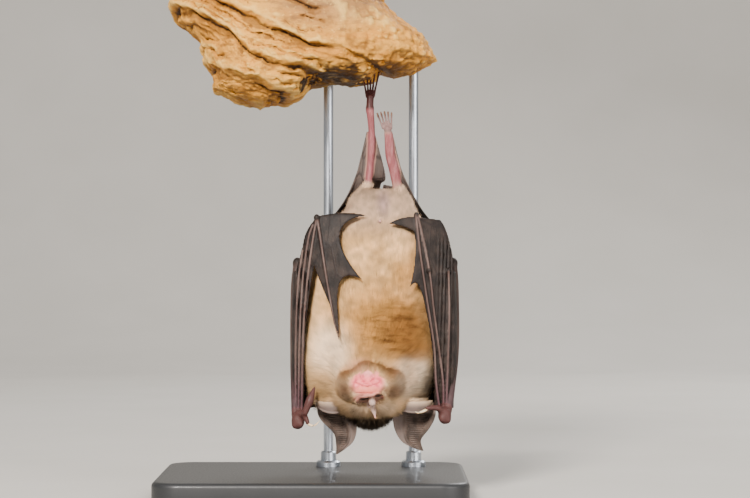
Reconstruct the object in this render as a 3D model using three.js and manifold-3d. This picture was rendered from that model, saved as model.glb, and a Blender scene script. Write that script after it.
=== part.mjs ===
// A horseshoe bat hanging head down by one foot from a piece of cave rock, on a plain display stand.
// Millimetres, +Z up. The bat's belly faces -Y; "left" and "right" are as seen from that side.
// The origin is the centre of the stand's underside.
import * as THREE from 'three';
import { mergeVertices } from 'three/addons/utils/BufferGeometryUtils.js';
import Module from 'manifold-3d';

const wasm = await Module();
wasm.setup();

// ---- driving dimensions -------------------------------------------------------------------------
const gap = 0.3; // clearance between pieces that touch
const hangX = 19.5; // the leg that grips hangs this far right of the stand's centre
const baseSize = { x: 98, y: 78, z: 8, corner: 9 };
const rod = { radius: 1.6, x: [-15, 13], y: 22, bottom: 3, top: 145 };
const wingSpread = 28.3; // half-width of the round surface that the folded wings lie on
const sheetThick = 0.6; // wing skin
const squareness = 2.4; // of the trunk's cross-section: 2 is an ellipse

// Trunk, to the tips of the fur: height, middle, half-width, depth in front, depth behind.
const trunkStations = [
  [97.8, 1.6, 2.8, 1.5, 2.8],
  [96.6, 1.7, 6.6, 3.7, 5.5],
  [94.2, 2.0, 9.4, 6.0, 8.0],
  [91.2, 2.0, 11.2, 8.0, 9.4],
  [87.0, 1.1, 14.8, 9.5, 10.4],
  [80.0, 0.0, 18.0, 11.2, 11.4],
  [69.0, -1.0, 19.8, 12.1, 12.4],
  [56.0, -1.8, 20.8, 12.5, 12.6],
  [45.0, -1.9, 20.6, 11.9, 11.2],
  [37.0, -1.9, 18.9, 10.2, 9.6],
  [30.6, -1.5, 16.0, 7.6, 8.2],
];
const trunkCuts = { belly: [97.8, 69.0], chest: [69.0, 45.0], neck: [45.0, 30.6] };

// ---- colours ------------------------------------------------------------------------------------
const finish = (color, roughness, metalness = 0) =>
  new THREE.MeshStandardMaterial({ color, roughness, metalness });
const furPale = finish(0xe0cdb2, 0.95);
const furBrown = finish(0xb99a6d, 0.95);
const skinPink = finish(0xd08a90, 0.6);
const skinGrey = finish(0x82736e, 0.7);
const wingSkin = finish(0x463c3c, 0.65);
const fingerSkin = finish(0xb29a90, 0.6);
const horn = finish(0xe6ddcb, 0.4);
const eyeBlack = finish(0x0a0808, 0.15);
const caveRock = finish(0xc49a55, 0.9);
const steel = finish(0xb8bbbe, 0.35, 1);
const paint = finish(0x2b2d2f, 0.5);

// ---- solids -------------------------------------------------------------------------------------
const vec = (x, y, z) => new THREE.Vector3(x, y, z);

/** A closed geometry as a solid for cutting and joining. */
function solid(geometry) {
  const bare = geometry.index ? geometry.toNonIndexed() : geometry.clone();
  for (const name of Object.keys(bare.attributes)) {
    if (name !== 'position') bare.deleteAttribute(name);
  }
  const merged = mergeVertices(bare, 1e-4);
  const index = merged.index.array;
  const kept = [];
  for (let i = 0; i < index.length; i += 3) {
    const [a, b, c] = [index[i], index[i + 1], index[i + 2]];
    if (a !== b && b !== c && a !== c) kept.push(a, b, c);
  }
  const vertProperties = new Float32Array(merged.attributes.position.array);
  return new wasm.Manifold(new wasm.Mesh({ numProp: 3, vertProperties, triVerts: new Uint32Array(kept) }));
}

/** The largest closed body of a solid, as a geometry. */
function largestBody(shape) {
  const bodies = shape.simplify(0.06).decompose().sort((a, b) => b.volume() - a.volume());
  const mesh = bodies[0].getMesh();
  const geometry = new THREE.BufferGeometry();
  geometry.setAttribute('position', new THREE.BufferAttribute(new Float32Array(mesh.vertProperties), 3));
  geometry.setIndex(new THREE.BufferAttribute(new Uint32Array(mesh.triVerts), 1));
  geometry.computeVertexNormals();
  return geometry;
}

/** Skins rings of equal count, in order, and closes both ends to their middles. */
function loft(rings) {
  const count = rings[0].length;
  const middle = (ring) => ring.reduce((sum, p) => sum.add(p), vec(0, 0, 0)).divideScalar(count);
  const points = rings.flat().concat([middle(rings[0]), middle(rings.at(-1))]);
  const faces = [];
  const [first, last] = [points.length - 2, points.length - 1];
  const end = (rings.length - 1) * count;
  for (let i = 0; i < count; i++) {
    const next = (i + 1) % count;
    faces.push(first, next, i, last, end + i, end + next);
    for (let r = 0; r + 1 < rings.length; r++) {
      const [a, b, c, d] = [r * count + i, r * count + next, (r + 1) * count + i, (r + 1) * count + next];
      faces.push(a, b, d, a, d, c);
    }
  }
  return outward(points, faces);
}

/** A geometry from points and faces, turned so that its volume is positive. */
function outward(points, faces) {
  let volume = 0;
  for (let i = 0; i < faces.length; i += 3) {
    const [a, b, c] = [points[faces[i]], points[faces[i + 1]], points[faces[i + 2]]];
    volume += a.dot(b.clone().cross(c));
  }
  const geometry = new THREE.BufferGeometry().setFromPoints(points);
  geometry.setIndex(volume > 0 ? faces : faces.toReversed());
  return geometry;
}

/** A round limb through points, with a radius at each point and rounded ends. */
function limb(points, radii, { sides = 7, steps = 2 * points.length, grow = 0, flat = 1 } = {}) {
  const curve = new THREE.CatmullRomCurve3(points, false, 'centripetal');
  const frames = curve.computeFrenetFrames(steps);
  const rings = [];
  const addRing = (t, frame, shrink, slide) => {
    const at = t * (radii.length - 1);
    const low = Math.min(Math.floor(at), radii.length - 2);
    const radius = (THREE.MathUtils.lerp(radii[low], radii[low + 1], at - low) + grow) * shrink;
    const centre = curve.getPoint(t).addScaledVector(frames.tangents[frame], slide * (radius + grow));
    rings.push(Array.from({ length: sides }, (_, i) => {
      const angle = (2 * Math.PI * i) / sides;
      return centre.clone()
        .addScaledVector(frames.normals[frame], radius * Math.cos(angle))
        .addScaledVector(frames.binormals[frame], radius * flat * Math.sin(angle));
    }));
  };
  addRing(0, 0, 0.55, -0.7);
  for (let i = 0; i <= steps; i++) addRing(i / steps, i, 1, 0);
  addRing(1, steps, 0.55, 0.7);
  return loft(rings);
}

/** An ellipsoid, turned by Euler angles in degrees. */
function ball(centre, radii, turn = [0, 0, 0], { grow = 0, across = 12, down = 8 } = {}) {
  const geometry = new THREE.SphereGeometry(1, across, down);
  const [x, y, z] = turn.map(THREE.MathUtils.degToRad);
  geometry.scale(...radii.map((r) => r + grow));
  geometry.applyMatrix4(new THREE.Matrix4().makeRotationFromEuler(new THREE.Euler(x, y, z)));
  return geometry.translate(...centre);
}

/** A skin of even thickness over a grid of points at(u, v), u and v from 0 to 1. */
function skin(at, across, along, thickness) {
  const grid = [];
  for (let j = 0; j <= along; j++) {
    for (let i = 0; i <= across; i++) grid.push(at(i / across, j / along));
  }
  const small = 0.01;
  const inside = (t) => Math.min(Math.max(t, small), 1 - small);
  const normals = grid.map((_, k) => {
    const [u, v] = [inside((k % (across + 1)) / across), inside(Math.floor(k / (across + 1)) / along)];
    const du = at(u + small, v).sub(at(u - small, v));
    const dv = at(u, v + small).sub(at(u, v - small));
    return du.cross(dv).normalize();
  });
  const side = (sign) => grid.map((p, k) => p.clone().addScaledVector(normals[k], (sign * thickness) / 2));
  const points = side(1).concat(side(-1));
  const [row, layer] = [across + 1, grid.length];
  const faces = [];
  const quad = (a, b, c, d) => faces.push(a, b, c, a, c, d);
  for (let j = 0; j < along; j++) {
    for (let i = 0; i < across; i++) {
      const a = j * row + i;
      quad(a, a + 1, a + row + 1, a + row);
      quad(layer + a, layer + a + row, layer + a + row + 1, layer + a + 1);
    }
    const [left, right] = [j * row, j * row + across];
    quad(left, left + row, layer + left + row, layer + left);
    quad(right + row, right, layer + right, layer + right + row);
  }
  for (let i = 0; i < across; i++) {
    const [low, high] = [i, along * row + i];
    quad(low + 1, low, layer + low, layer + low + 1);
    quad(high, high + 1, layer + high + 1, layer + high);
  }
  return outward(points, faces);
}

/** Wing skin stretched from one edge to another, bulging by a vector and pleated along its length. */
function web(edgeA, edgeB, { bulge = vec(0, 0, 0), pleats = 0, depth = 0.5, across = 6, along = 8 }) {
  const [a, b] = [edgeA, edgeB].map((points) => new THREE.CatmullRomCurve3(points, false, 'centripetal'));
  const at = (u, v) => {
    const arch = Math.sin(Math.PI * u);
    const fold = depth * Math.sin(2 * Math.PI * pleats * u);
    return a.getPoint(v).lerp(b.getPoint(v), u)
      .addScaledVector(bulge, arch)
      .addScaledVector(bulge.clone().normalize(), arch * fold);
  };
  return skin(at, across, along, sheetThick);
}

/** Smooth interpolation of a table's rows at a height; the first column is the height, falling. */
function atHeight(table, z) {
  let row = 0;
  while (row < table.length - 2 && z < table[row + 1][0]) row++;
  const pick = (i) => table[Math.min(Math.max(i, 0), table.length - 1)];
  const [before, from, to, after] = [pick(row - 1), pick(row), pick(row + 1), pick(row + 2)];
  const t = THREE.MathUtils.clamp((z - from[0]) / (to[0] - from[0]), 0, 1);
  return from.map((value, k) => {
    const slopeIn = ((to[k] - before[k]) / (to[0] - before[0])) * (to[0] - from[0]);
    const slopeOut = ((after[k] - value) / (after[0] - from[0])) * (to[0] - from[0]);
    const [t2, t3] = [t * t, t * t * t];
    return (2 * t3 - 3 * t2 + 1) * value + (t3 - 2 * t2 + t) * slopeIn
      + (3 * t2 - 2 * t3) * to[k] + (t3 - t2) * slopeOut;
  });
}

// ---- trunk --------------------------------------------------------------------------------------
/** A length of the trunk between two heights, top first. */
function trunkPiece([top, bottom], { grow = 0, sides = 18, steps = 5 } = {}) {
  const [high, low] = [top + grow, bottom - grow];
  const rings = [];
  for (let j = 0; j <= steps; j++) {
    const z = THREE.MathUtils.lerp(high, low, j / steps);
    const [, middle, half, front, back] = atHeight(trunkStations, Math.min(z, trunkStations[0][0]));
    rings.push(Array.from({ length: sides }, (_, i) => {
      const angle = (2 * Math.PI * i) / sides;
      const [c, s] = [Math.cos(angle), Math.sin(angle)];
      const bend = (t) => Math.sign(t) * Math.abs(t) ** (2 / squareness);
      return vec(middle + (half + grow) * bend(c), ((s < 0 ? front : back) + grow) * bend(s), z);
    }));
  }
  return loft(rings);
}

/** Depth of the round surface that the folded wings lie on, at a point of the front view. */
function wingDepth(x, z) {
  const front = atHeight(trunkStations, z)[3] + 1.2;
  const reach = Math.min(Math.abs(x) / wingSpread, 0.96);
  return -front * Math.sqrt(1 - reach * reach);
}
const onWing = (x, z, lift = 0) => vec(x, wingDepth(x, z) - lift, z);

// ---- head ---------------------------------------------------------------------------------------
const headTurn = [0, 11, 0]; // the face leans a little to the left side
const faceX = -1.4;
// Sections of the head: place from back to front, height, half-width, half-height.
const headStations = [
  [11.6, 32.5, 4.2, 4.4], [9.4, 32.3, 7.6, 7.8], [4.4, 32.0, 9.9, 10.1], [-1.2, 31.9, 10.0, 9.9],
  [-6.4, 33.4, 9.6, 8.0], [-10.4, 35.7, 9.3, 5.7], [-13.4, 36.6, 7.6, 4.2], [-15.4, 36.8, 4.6, 2.4],
];

/** The head with its fur, from nape to muzzle, as upright sections that lean with the face. */
function headWhole(grow) {
  const [sides, last] = [14, headStations.length - 1];
  return loft(headStations.map(([y, z, half, high], j) => {
    const lean = THREE.MathUtils.degToRad(headTurn[1]) * (j / last);
    return Array.from({ length: sides }, (_, i) => {
      const angle = (2 * Math.PI * i) / sides;
      const [across, up] = [(half + grow) * Math.cos(angle), (high + grow) * Math.sin(angle)];
      const end = j === 0 ? grow : j === last ? -grow : 0;
      return vec(faceX + across * Math.cos(lean) - up * Math.sin(lean), y + end,
        z + across * Math.sin(lean) + up * Math.cos(lean));
    });
  }));
}
const chin = (grow) => ball([-2.1, -12.9, 37.4], [5.4, 3.7, 4.0], headTurn, { grow, across: 12, down: 6 });

// The noseleaf lies on a plane that faces down and forward; s runs across it and t from lip to brow.
const leafStart = vec(-2.1, -15.8, 33.0);
const leafAlong = vec(0.16, 0.9, -0.42).normalize();
const leafAcross = vec(0.98, 0, 0.19).normalize();
const leafOut = leafAlong.clone().cross(leafAcross).normalize();
const onLeaf = (s, t, lift = 0) => leafStart.clone()
  .addScaledVector(leafAcross, s)
  .addScaledVector(leafAlong, t)
  .addScaledVector(leafOut, lift);
const horseshoe = { half: 4.7, long: 6.6 };

/** The horseshoe: a dished plate with a raised rim, wide at the lip. */
function horseshoePlate(grow) {
  const at = (u, v) => {
    const [angle, reach] = [2 * Math.PI * v, 0.02 + 0.98 * u];
    const s = horseshoe.half * reach * Math.sin(angle);
    const t = horseshoe.long * (0.5 - 0.5 * reach * Math.cos(angle));
    return onLeaf(s, t, 0.7 * reach ** 4);
  };
  const rings = [];
  for (const [lift, from] of [[0.45 + grow, 0], [-0.45 - grow, 2]]) {
    for (let r = 0; r <= 2; r++) {
      const reach = Math.abs(from - r) / 2;
      rings.push(Array.from({ length: 14 }, (_, i) => at(reach * (1 + grow / 5), i / 14)
        .addScaledVector(leafOut, lift)));
    }
  }
  return loft(rings);
}
const sellaBlock = (grow) => limb([onLeaf(0, 3.3, 0.5), onLeaf(0, 3.5, 1.8), onLeaf(0, 3.8, 3.1)], [1.15, 1.0, 1.25],
  { grow, sides: 6, steps: 3, flat: 0.75 });
const lancetBlade = (grow) => limb([onLeaf(0, 7.2, 0), onLeaf(0, 7.7, 2.2), onLeaf(0, 8.1, 4.2), onLeaf(0, 8.2, 6)],
  [1.9, 1.5, 0.9, 0.35], { grow, sides: 7, steps: 4, flat: 0.5 });

/** An ear: a pointed, hollow leaf that opens towards the face. */
function ear({ root, tip, outer, inner }) {
  const at = (u, v) => {
    const z = THREE.MathUtils.lerp(root, tip.z, v);
    const edgeOut = atHeight(outer, z)[1];
    const edgeIn = atHeight(inner, z)[1];
    const across = 2 * u - 1;
    const cup = 4.6 * (1 - v) ** 0.8 * (1 - across * across);
    return vec(THREE.MathUtils.lerp(edgeOut, edgeIn, u), -1.2 + cup + 2.0 * v * v, z);
  };
  return skin(at, 5, 7, 0.7);
}
const leftEar = {
  root: 31.4,
  tip: { z: 13.6 },
  outer: [[31.4, -17.8], [27.5, -18.0], [24.6, -16.7], [20.6, -12.9], [17.0, -12.1], [13.6, -12.0]],
  inner: [[31.4, -7.4], [27.5, -6.6], [22.0, -5.6], [18.0, -6.6], [15.6, -9.0], [13.6, -11.6]],
};
const rightEar = {
  root: 31.0,
  tip: { z: 14.7 },
  outer: [[31.0, 18.6], [27.5, 19.6], [25.0, 19.2], [22.0, 17.6], [18.3, 15.0], [14.7, 15.9]],
  inner: [[31.0, 6.9], [27.0, 6.1], [22.0, 6.6], [18.0, 8.8], [15.9, 12.2], [14.7, 15.4]],
};

/** The lobe in front of an ear's opening, hanging as half an ellipse between two sides. */
function lobe([from, to], top, low) {
  const at = (u, v) => {
    const across = 2 * u - 1;
    const hang = Math.sqrt(Math.max(1 - across * across, 0.02));
    const x = THREE.MathUtils.lerp(from, to, u);
    return vec(x, -6.6 + 3.4 * across * across + 0.8 * v, top - (top - low) * v * hang);
  };
  return skin(at, 6, 2, 0.7);
}

// ---- arms and hands -----------------------------------------------------------------------------
const left = {
  shoulder: vec(-16.5, 5.5, 47),
  elbow: vec(-24.3, 1.2, 75),
  forearm: [vec(-24.5, 0.6, 74.2), vec(-25.4, -0.6, 66), vec(-25.7, -2.4, 46), vec(-25.1, -5.6, 26.8)],
  wrist: vec(-24.1, -6.8, 24.9),
  thumb: [vec(-22.6, -8.2, 26.8), vec(-21.5, -9.1, 25.6), vec(-20.7, -9.5, 24.2)],
  claw: [vec(-21.0, -9.6, 24.3), vec(-19.8, -10.0, 23.6), vec(-18.3, -9.8, 24.0), vec(-17.3, -9.4, 25.1)],
  finger3: [[-23.0, 26.4], [-22.5, 50], [-21.4, 66.6], [-19.5, 81.3], [-17.9, 89.4]],
  tip3: [[-17.0, 89.0], [-16.0, 78], [-14.7, 68], [-12.6, 57], [-11.0, 52]],
  finger4: [[-24.0, 26.4], [-23.6, 50], [-22.5, 68], [-20.6, 82]],
  finger5: [[-24.9, 26.8], [-24.8, 50], [-23.9, 68], [-22.4, 79]],
};
const right = {
  shoulder: vec(13.5, 5.5, 47),
  elbow: vec(25.2, 1.2, 75),
  forearm: [vec(25.3, 0.6, 74.2), vec(25.8, -0.6, 66), vec(26.0, -2.4, 46), vec(23.6, -6.2, 28)],
  wrist: vec(22.4, -7.6, 26.6),
  thumb: [vec(20.8, -9.0, 28.0), vec(18.8, -10.3, 29.3), vec(16.8, -10.8, 29.2)],
  claw: [vec(16.2, -10.8, 28.9), vec(15.0, -11.0, 27.9), vec(13.8, -10.8, 27.6), vec(13.0, -10.4, 28.0)],
  finger3: [[22.0, 27.6], [20.4, 46], [18.6, 61.4], [17.1, 74], [13.9, 89.4]],
  tip3: [[12.7, 91.2], [14.4, 78.7], [15.6, 70], [16.2, 64]],
  finger4: [[20.6, 28.2], [19.1, 40], [18.4, 51], [17.0, 61.5]],
  finger5: [[22.8, 28.2], [23.6, 46], [24.0, 60], [23.6, 74], [22.0, 84]],
};

const upperArm = (side, grow) => limb([side.shoulder, side.shoulder.clone().lerp(side.elbow, 0.5), side.elbow],
  [3.4, 2.5, 1.7], { sides: 8, steps: 2, grow });
const forearm = (side, grow) => limb(side.forearm, [1.15, 1.3, 1.05, 1.0], { sides: 6, steps: 5, grow });
const wrist = (side, grow) => ball(side.wrist.toArray(), [2.5, 2.2, 3.0], [0, 0, 0], { grow, across: 9, down: 6 });
const finger = (points, radii, lift, grow) => limb(points.map(([x, z]) => onWing(x, z, lift)), radii,
  { sides: 6, steps: 5, grow });

// ---- wing skin ----------------------------------------------------------------------------------
/** The outline of the left wing's front skin: scalloped flap, fold along the fingers, outer edge. */
function leftWingOutline() {
  const shape = new THREE.Shape();
  shape.moveTo(-18.2, 89.6);
  shape.quadraticCurveTo(-9, 91.8, -2.1, 89.9); // top edge to the fifth finger's tip
  shape.bezierCurveTo(-14, 88.6, -13, 80.5, -3.6, 69.8); // to the fourth finger's tip
  shape.bezierCurveTo(-13.5, 75, -11.6, 63.5, -10.5, 50.9); // to the third finger's tip
  shape.lineTo(-14, 61.8);
  shape.quadraticCurveTo(-16.6, 67.5, -18.9, 73.9);
  shape.quadraticCurveTo(-21.6, 60, -22, 44);
  shape.lineTo(-22.2, 28.8);
  shape.lineTo(-24.8, 28.8);
  shape.quadraticCurveTo(-26.6, 52, -25, 70);
  shape.lineTo(-22.6, 80);
  shape.quadraticCurveTo(-22.2, 85, -19.5, 87.8);
  return shape;
}

/** The outline of the right wing's front skin, which shows more of the folded hand. */
function rightWingOutline() {
  const shape = new THREE.Shape();
  shape.moveTo(12.9, 89.2);
  shape.lineTo(21, 88.4);
  shape.quadraticCurveTo(23.6, 86, 24.9, 76.5);
  shape.quadraticCurveTo(26.4, 56, 24.4, 31);
  shape.lineTo(19.4, 29.8);
  shape.quadraticCurveTo(19.4, 48, 16.4, 60.5);
  shape.quadraticCurveTo(15.4, 66, 13.9, 68.3);
  shape.quadraticCurveTo(12.2, 69.6, 10.6, 65.9); // fourth finger's tip
  shape.quadraticCurveTo(13.8, 74.6, 12.7, 84.9);
  shape.quadraticCurveTo(9.4, 86.9, 4.8, 87.4); // fifth finger's tip
  shape.quadraticCurveTo(8.6, 89.4, 12.9, 89.2);
  return shape;
}

/** Skin on the round surface of the folded wings, cut to an outline seen from the front. */
function wingFront(shape) {
  const [low, high] = [new THREE.Vector2(Infinity, Infinity), new THREE.Vector2(-Infinity, -Infinity)];
  for (const point of shape.getPoints(4)) {
    low.min(point);
    high.max(point);
  }
  const at = (u, v) => {
    const x = THREE.MathUtils.lerp(low.x - 1, high.x + 1, u);
    return onWing(x, THREE.MathUtils.lerp(low.y - 1, high.y + 1, v));
  };
  const block = new THREE.ExtrudeGeometry(shape, { depth: 40, bevelEnabled: false, curveSegments: 4 });
  block.rotateX(Math.PI / 2).translate(0, 20, 0);
  return solid(skin(at, 6, 3, sheetThick)).intersect(solid(block));
}

// ---- legs and tail ------------------------------------------------------------------------------
const gripLeg = {
  thigh: [vec(-5.2, 2.4, 90.2), vec(-4.2, 1.8, 94.6), vec(-2.0, 1.3, 99.2)],
  shank: [vec(-1.9, 1.3, 99.6), vec(-1.0, 0.9, 108), vec(-0.7, 0.4, 116), vec(-1.3, 0.2, 124.4)],
};
const freeLeg = {
  thigh: [vec(9.0, 2.0, 90), vec(8.4, 1.0, 94.5), vec(7.8, -0.2, 97.8)],
  shank: [vec(7.8, -0.4, 97.6), vec(6.4, -1.2, 104.6), vec(5.1, -2.2, 109.6), vec(4.7, -2.9, 115.8)],
};

/** A foot: a flat sole with five toes, each curving over into its claw. */
function foot(ankle, sole, toeRoots, toeTips, hook, grow) {
  const middle = ankle.clone().lerp(sole, 0.5);
  let shape = solid(limb([ankle, middle, sole], [1.15, 1.35, 1.5], { sides: 7, steps: 2, grow, flat: 0.75 }));
  toeRoots.forEach((toe, i) => {
    const knuckle = toe.clone().lerp(toeTips[i], 0.6);
    const bend = toeTips[i].clone().addScaledVector(hook, 0.55);
    const end = toeTips[i].clone().add(hook).add(vec(0, 0, -1.4));
    const path = [toe, knuckle, toeTips[i], bend, end];
    shape = shape.add(solid(limb(path, [0.44, 0.4, 0.4, 0.34, 0.16], { sides: 4, steps: 2, grow })));
  });
  return shape;
}
/** Five points side by side, spread along a line and bowed upward in the middle. */
const fan = (from, to, bow) => Array.from({ length: 5 }, (_, i) => from.clone().lerp(to, i / 4)
  .add(vec(0, 0, bow * Math.sin((Math.PI * i) / 4))));

const gripFoot = (grow) => foot(vec(-1.4, 0.2, 123.6), vec(-1.2, 0.6, 128),
  fan(vec(-2.3, 0.8, 128.2), vec(-0.1, 0.8, 128.2), 0.3), fan(vec(-3.6, 2.4, 135.2), vec(1.5, 2.4, 135.6), 0.6),
  vec(0, -2.6, 0.4), grow);
const freeFoot = (grow) => foot(vec(4.7, -2.9, 115.2), vec(4.3, -3.4, 117.6),
  fan(vec(2.9, -3.5, 117.9), vec(5.5, -3.5, 117.9), 0.3), fan(vec(1.1, -3.4, 122.4), vec(5.6, -3.4, 122.6), 0.4),
  vec(0, -2.0, 0.1), grow);

const tailPath = [vec(1.3, 9.2, 97.6), vec(1.4, 12.2, 94.4), vec(1.0, 13.9, 86), vec(0.5, 14.6, 78), vec(0.2, 14.8, 71)];

// ---- perch --------------------------------------------------------------------------------------
const rockMiddle = { x: -22, y: 6, z: 148 };
const rockDepth = 31;
const rockOutline = [
  [-65.6, 158.7], [-63, 151.5], [-55.4, 145], [-52.8, 137.6], [-50.9, 130.2], [-43.5, 126.8], [-35.8, 125.1],
  [-28.2, 126.4], [-23.4, 128.6], [-20.6, 132], [-14, 133.4], [-7.7, 132.6], [-0.6, 133.4], [2.2, 136.6],
  [6.7, 134.7], [13.1, 136], [19.2, 140.2], [15.7, 147.8], [9.3, 152.6], [3.2, 159], [-1, 166.5],
  [-14, 171.5], [-32, 172.5], [-50, 171], [-62, 166],
];

const rockCorners = rockOutline.map(([x, z]) => [x - rockMiddle.x, z - rockMiddle.z])
  .sort((a, b) => Math.atan2(a[1], a[0]) - Math.atan2(b[1], b[0]));

/** How far the rock's outline lies from its middle, in the direction of (dx, dz). */
function rockReach(dx, dz) {
  const angle = Math.atan2(dz, dx);
  let next = rockCorners.findIndex(([x, z]) => Math.atan2(z, x) > angle);
  if (next < 0) next = 0;
  const [[ax, az], [bx, bz]] = [rockCorners.at(next - 1), rockCorners[next]];
  const length = Math.hypot(dx, dz) || 1;
  return (length * (ax * bz - az * bx)) / (dx * (bz - az) - dz * (bx - ax));
}

const ramp = (value, low, high) => THREE.MathUtils.smoothstep(value, low, high);

/** Heights of the rock's three main ledges, lowest first, at places from left to right. */
const ledgePlaces = [-66, -54, -44, -40, -35, -27, -19, -9, 5];
const ledges = [
  [143, 139, 135.9, 134.5, 132.7, 128.9, 132.2, 128, 126],
  [158, 152.5, 148.9, 143.4, 139.8, 137.3, 136.5, 132.6, 132],
  [165, 160, 155.6, 153.8, 151.5, 147.7, 143.7, 143.2, 143],
];

/** Which plate of the rock a height belongs to: whole numbers lie on the ledges. */
function ledgeLevel(x, z) {
  const last = ledgePlaces.length - 1;
  const place = THREE.MathUtils.clamp(x, ledgePlaces[0], ledgePlaces[last] - 0.01);
  const k = ledgePlaces.findIndex((edge) => edge > place);
  const t = (place - ledgePlaces[k - 1]) / (ledgePlaces[k] - ledgePlaces[k - 1]);
  const [low, middle, high] = ledges.map((row) => THREE.MathUtils.lerp(row[k - 1], row[k], t));
  if (z < low) return (z - low) / 9;
  if (z < middle) return (z - low) / (middle - low);
  return z < high ? 1 + (z - middle) / (high - middle) : 2 + (z - high) / 11;
}

/** The rock's main relief: sloping plates that jut out over each other, and broad lumps beside them. */
function rockRelief(x, y, z) {
  const level = ledgeLevel(x + 1.5 * Math.sin(y / 5), z + 0.12 * (y + 24) + 0.8 * Math.sin(y / 6 + z / 8));
  const part = level - Math.floor(level);
  const plate = part < 0.25 ? 8 * part - 1 : 1 - (part - 0.25) / 0.375;
  const lump = Math.sin(x / 3.1 + 1) * Math.sin(y / 3.7) + Math.sin(z / 2.9 + x / 6);
  const right = ramp(x + 0.35 * (z - 150), -22, -8);
  return (1.1 * plate * (1 - right) + 0.6 * lump * right) * (1 - ramp(z, 166, 171));
}

/** How far a point lies inside the rock: an outline with rounded faces, its relief and a hollow below. */
function insideRock([x, y, z]) {
  const [dx, dy, dz] = [x - rockMiddle.x, y - rockMiddle.y, z - rockMiddle.z];
  const fill = ((Math.hypot(dx, dz) / rockReach(dx, dz)) ** 2.8 + Math.abs(dy / rockDepth) ** 2.8) ** (1 / 2.8);
  const rock = Math.hypot(dx, dy, dz) * (1 / Math.max(fill, 0.01) - 1) + rockRelief(x, y, z);
  const hollow = 4 * (Math.hypot((x + 13.5) / 10, (y + 17) / 20, (z - 130.3) / 4.2) - 1);
  return Math.min(rock, hollow);
}

/** The rock as a closed surface, with few faces. */
const rock = () => wasm.Manifold.levelSet(insideRock, { min: [-70, -28, 121], max: [23, 40, 176] }, 4.8)
  .simplify(0.9);

/** The cleft in the rock's underside that the toes hook into. */
const cleft = () => ball([-0.9, 2.6, 133.6], [4.6, 5.2, 5.6], [0, 12, 0], { across: 9, down: 6 });

// ---- stand --------------------------------------------------------------------------------------
function standBase() {
  const { x, y, z, corner } = baseSize;
  const [w, h] = [x / 2, y / 2];
  const shape = new THREE.Shape();
  shape.absarc(w - corner, h - corner, corner, 0, Math.PI / 2);
  shape.absarc(corner - w, h - corner, corner, Math.PI / 2, Math.PI);
  shape.absarc(corner - w, corner - h, corner, Math.PI, 1.5 * Math.PI);
  shape.absarc(w - corner, corner - h, corner, 1.5 * Math.PI, 2 * Math.PI);
  return new THREE.ExtrudeGeometry(shape, { depth: z, bevelEnabled: false, curveSegments: 4 });
}
const rodGeometry = (x, grow = 0) => new THREE.CylinderGeometry(
  rod.radius + grow, rod.radius + grow, rod.top - rod.bottom + 2 * grow, 12,
).rotateX(Math.PI / 2).translate(x, rod.y, (rod.top + rod.bottom) / 2);

// ---- assembly -----------------------------------------------------------------------------------
const group = new THREE.Group();
const hanging = new THREE.Group();
hanging.position.x = hangX;
group.add(hanging);

function place(parent, name, shape, material) {
  const mesh = new THREE.Mesh(largestBody(shape), material);
  mesh.name = name;
  parent.add(mesh);
}
const asSolid = (shape) => (shape instanceof THREE.BufferGeometry ? solid(shape) : shape);

// Each piece is cut clear of the pieces named before it that it touches.
const pieces = {};
const grown = {};
/** Adds a piece made by make(grow), cut clear of the named ones. */
function add(name, material, make, clearOf = []) {
  let shape = asSolid(make(0));
  for (const other of clearOf) {
    grown[other] ??= asSolid(pieces[other](gap));
    shape = shape.subtract(grown[other]);
  }
  pieces[name] = make;
  place(hanging, name, shape, material);
}

add('eye_left', eyeBlack, (g) => ball([-6.3, -8.4, 28.4], [0.75, 0.75, 0.75], [0, 0, 0], { grow: g, across: 7, down: 5 }));
add('eye_right', eyeBlack, (g) => ball([4.3, -8.4, 29.6], [0.75, 0.75, 0.75], [0, 0, 0], { grow: g, across: 7, down: 5 }));
add('noseleaf_sella', skinGrey, sellaBlock);
add('noseleaf_lancet', skinPink, lancetBlade);
add('noseleaf_horseshoe', skinPink, horseshoePlate, ['noseleaf_sella', 'noseleaf_lancet']);
add('chin', skinPink, chin, ['noseleaf_horseshoe']);
add('head', furPale, headWhole,
  ['eye_left', 'eye_right', 'noseleaf_sella', 'noseleaf_lancet', 'noseleaf_horseshoe', 'chin']);

for (const [word, side] of [['left', left], ['right', right]]) {
  const near = (...names) => names.map((name) => `${name}_${word}`);
  add(`thumb_claw_${word}`, horn, (g) => limb(side.claw, [0.5, 0.48, 0.38, 0.18], { sides: 5, steps: 4, grow: g }));
  add(`wrist_${word}`, fingerSkin, (g) => wrist(side, g));
  add(`thumb_${word}`, skinPink, (g) => limb(side.thumb, [1.0, 0.8, 0.65], { sides: 6, steps: 2, grow: g }),
    near('thumb_claw', 'wrist'));
  add(`forearm_${word}`, fingerSkin, (g) => forearm(side, g), near('wrist'));
  add(`finger_3_tip_${word}`, fingerSkin, (g) => finger(side.tip3, [0.5, 0.45, 0.4, 0.3], 1.9, g));
  add(`finger_3_${word}`, fingerSkin, (g) => finger(side.finger3, [0.62, 0.6, 0.6, 0.55, 0.5], 1.35, g),
    near('wrist', 'finger_3_tip'));
  add(`finger_4_${word}`, fingerSkin, (g) => finger(side.finger4, [0.55, 0.55, 0.5, 0.42], 1.4, g),
    near('wrist', 'forearm', 'finger_3', 'finger_3_tip', 'thumb'));
  add(`finger_5_${word}`, fingerSkin, (g) => finger(side.finger5, [0.55, 0.55, 0.5, 0.42], 1.5, g),
    near('wrist', 'finger_3', 'finger_4', 'forearm'));
  add(`upper_arm_${word}`, furBrown, (g) => upperArm(side, g), near('forearm'));
}

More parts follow.
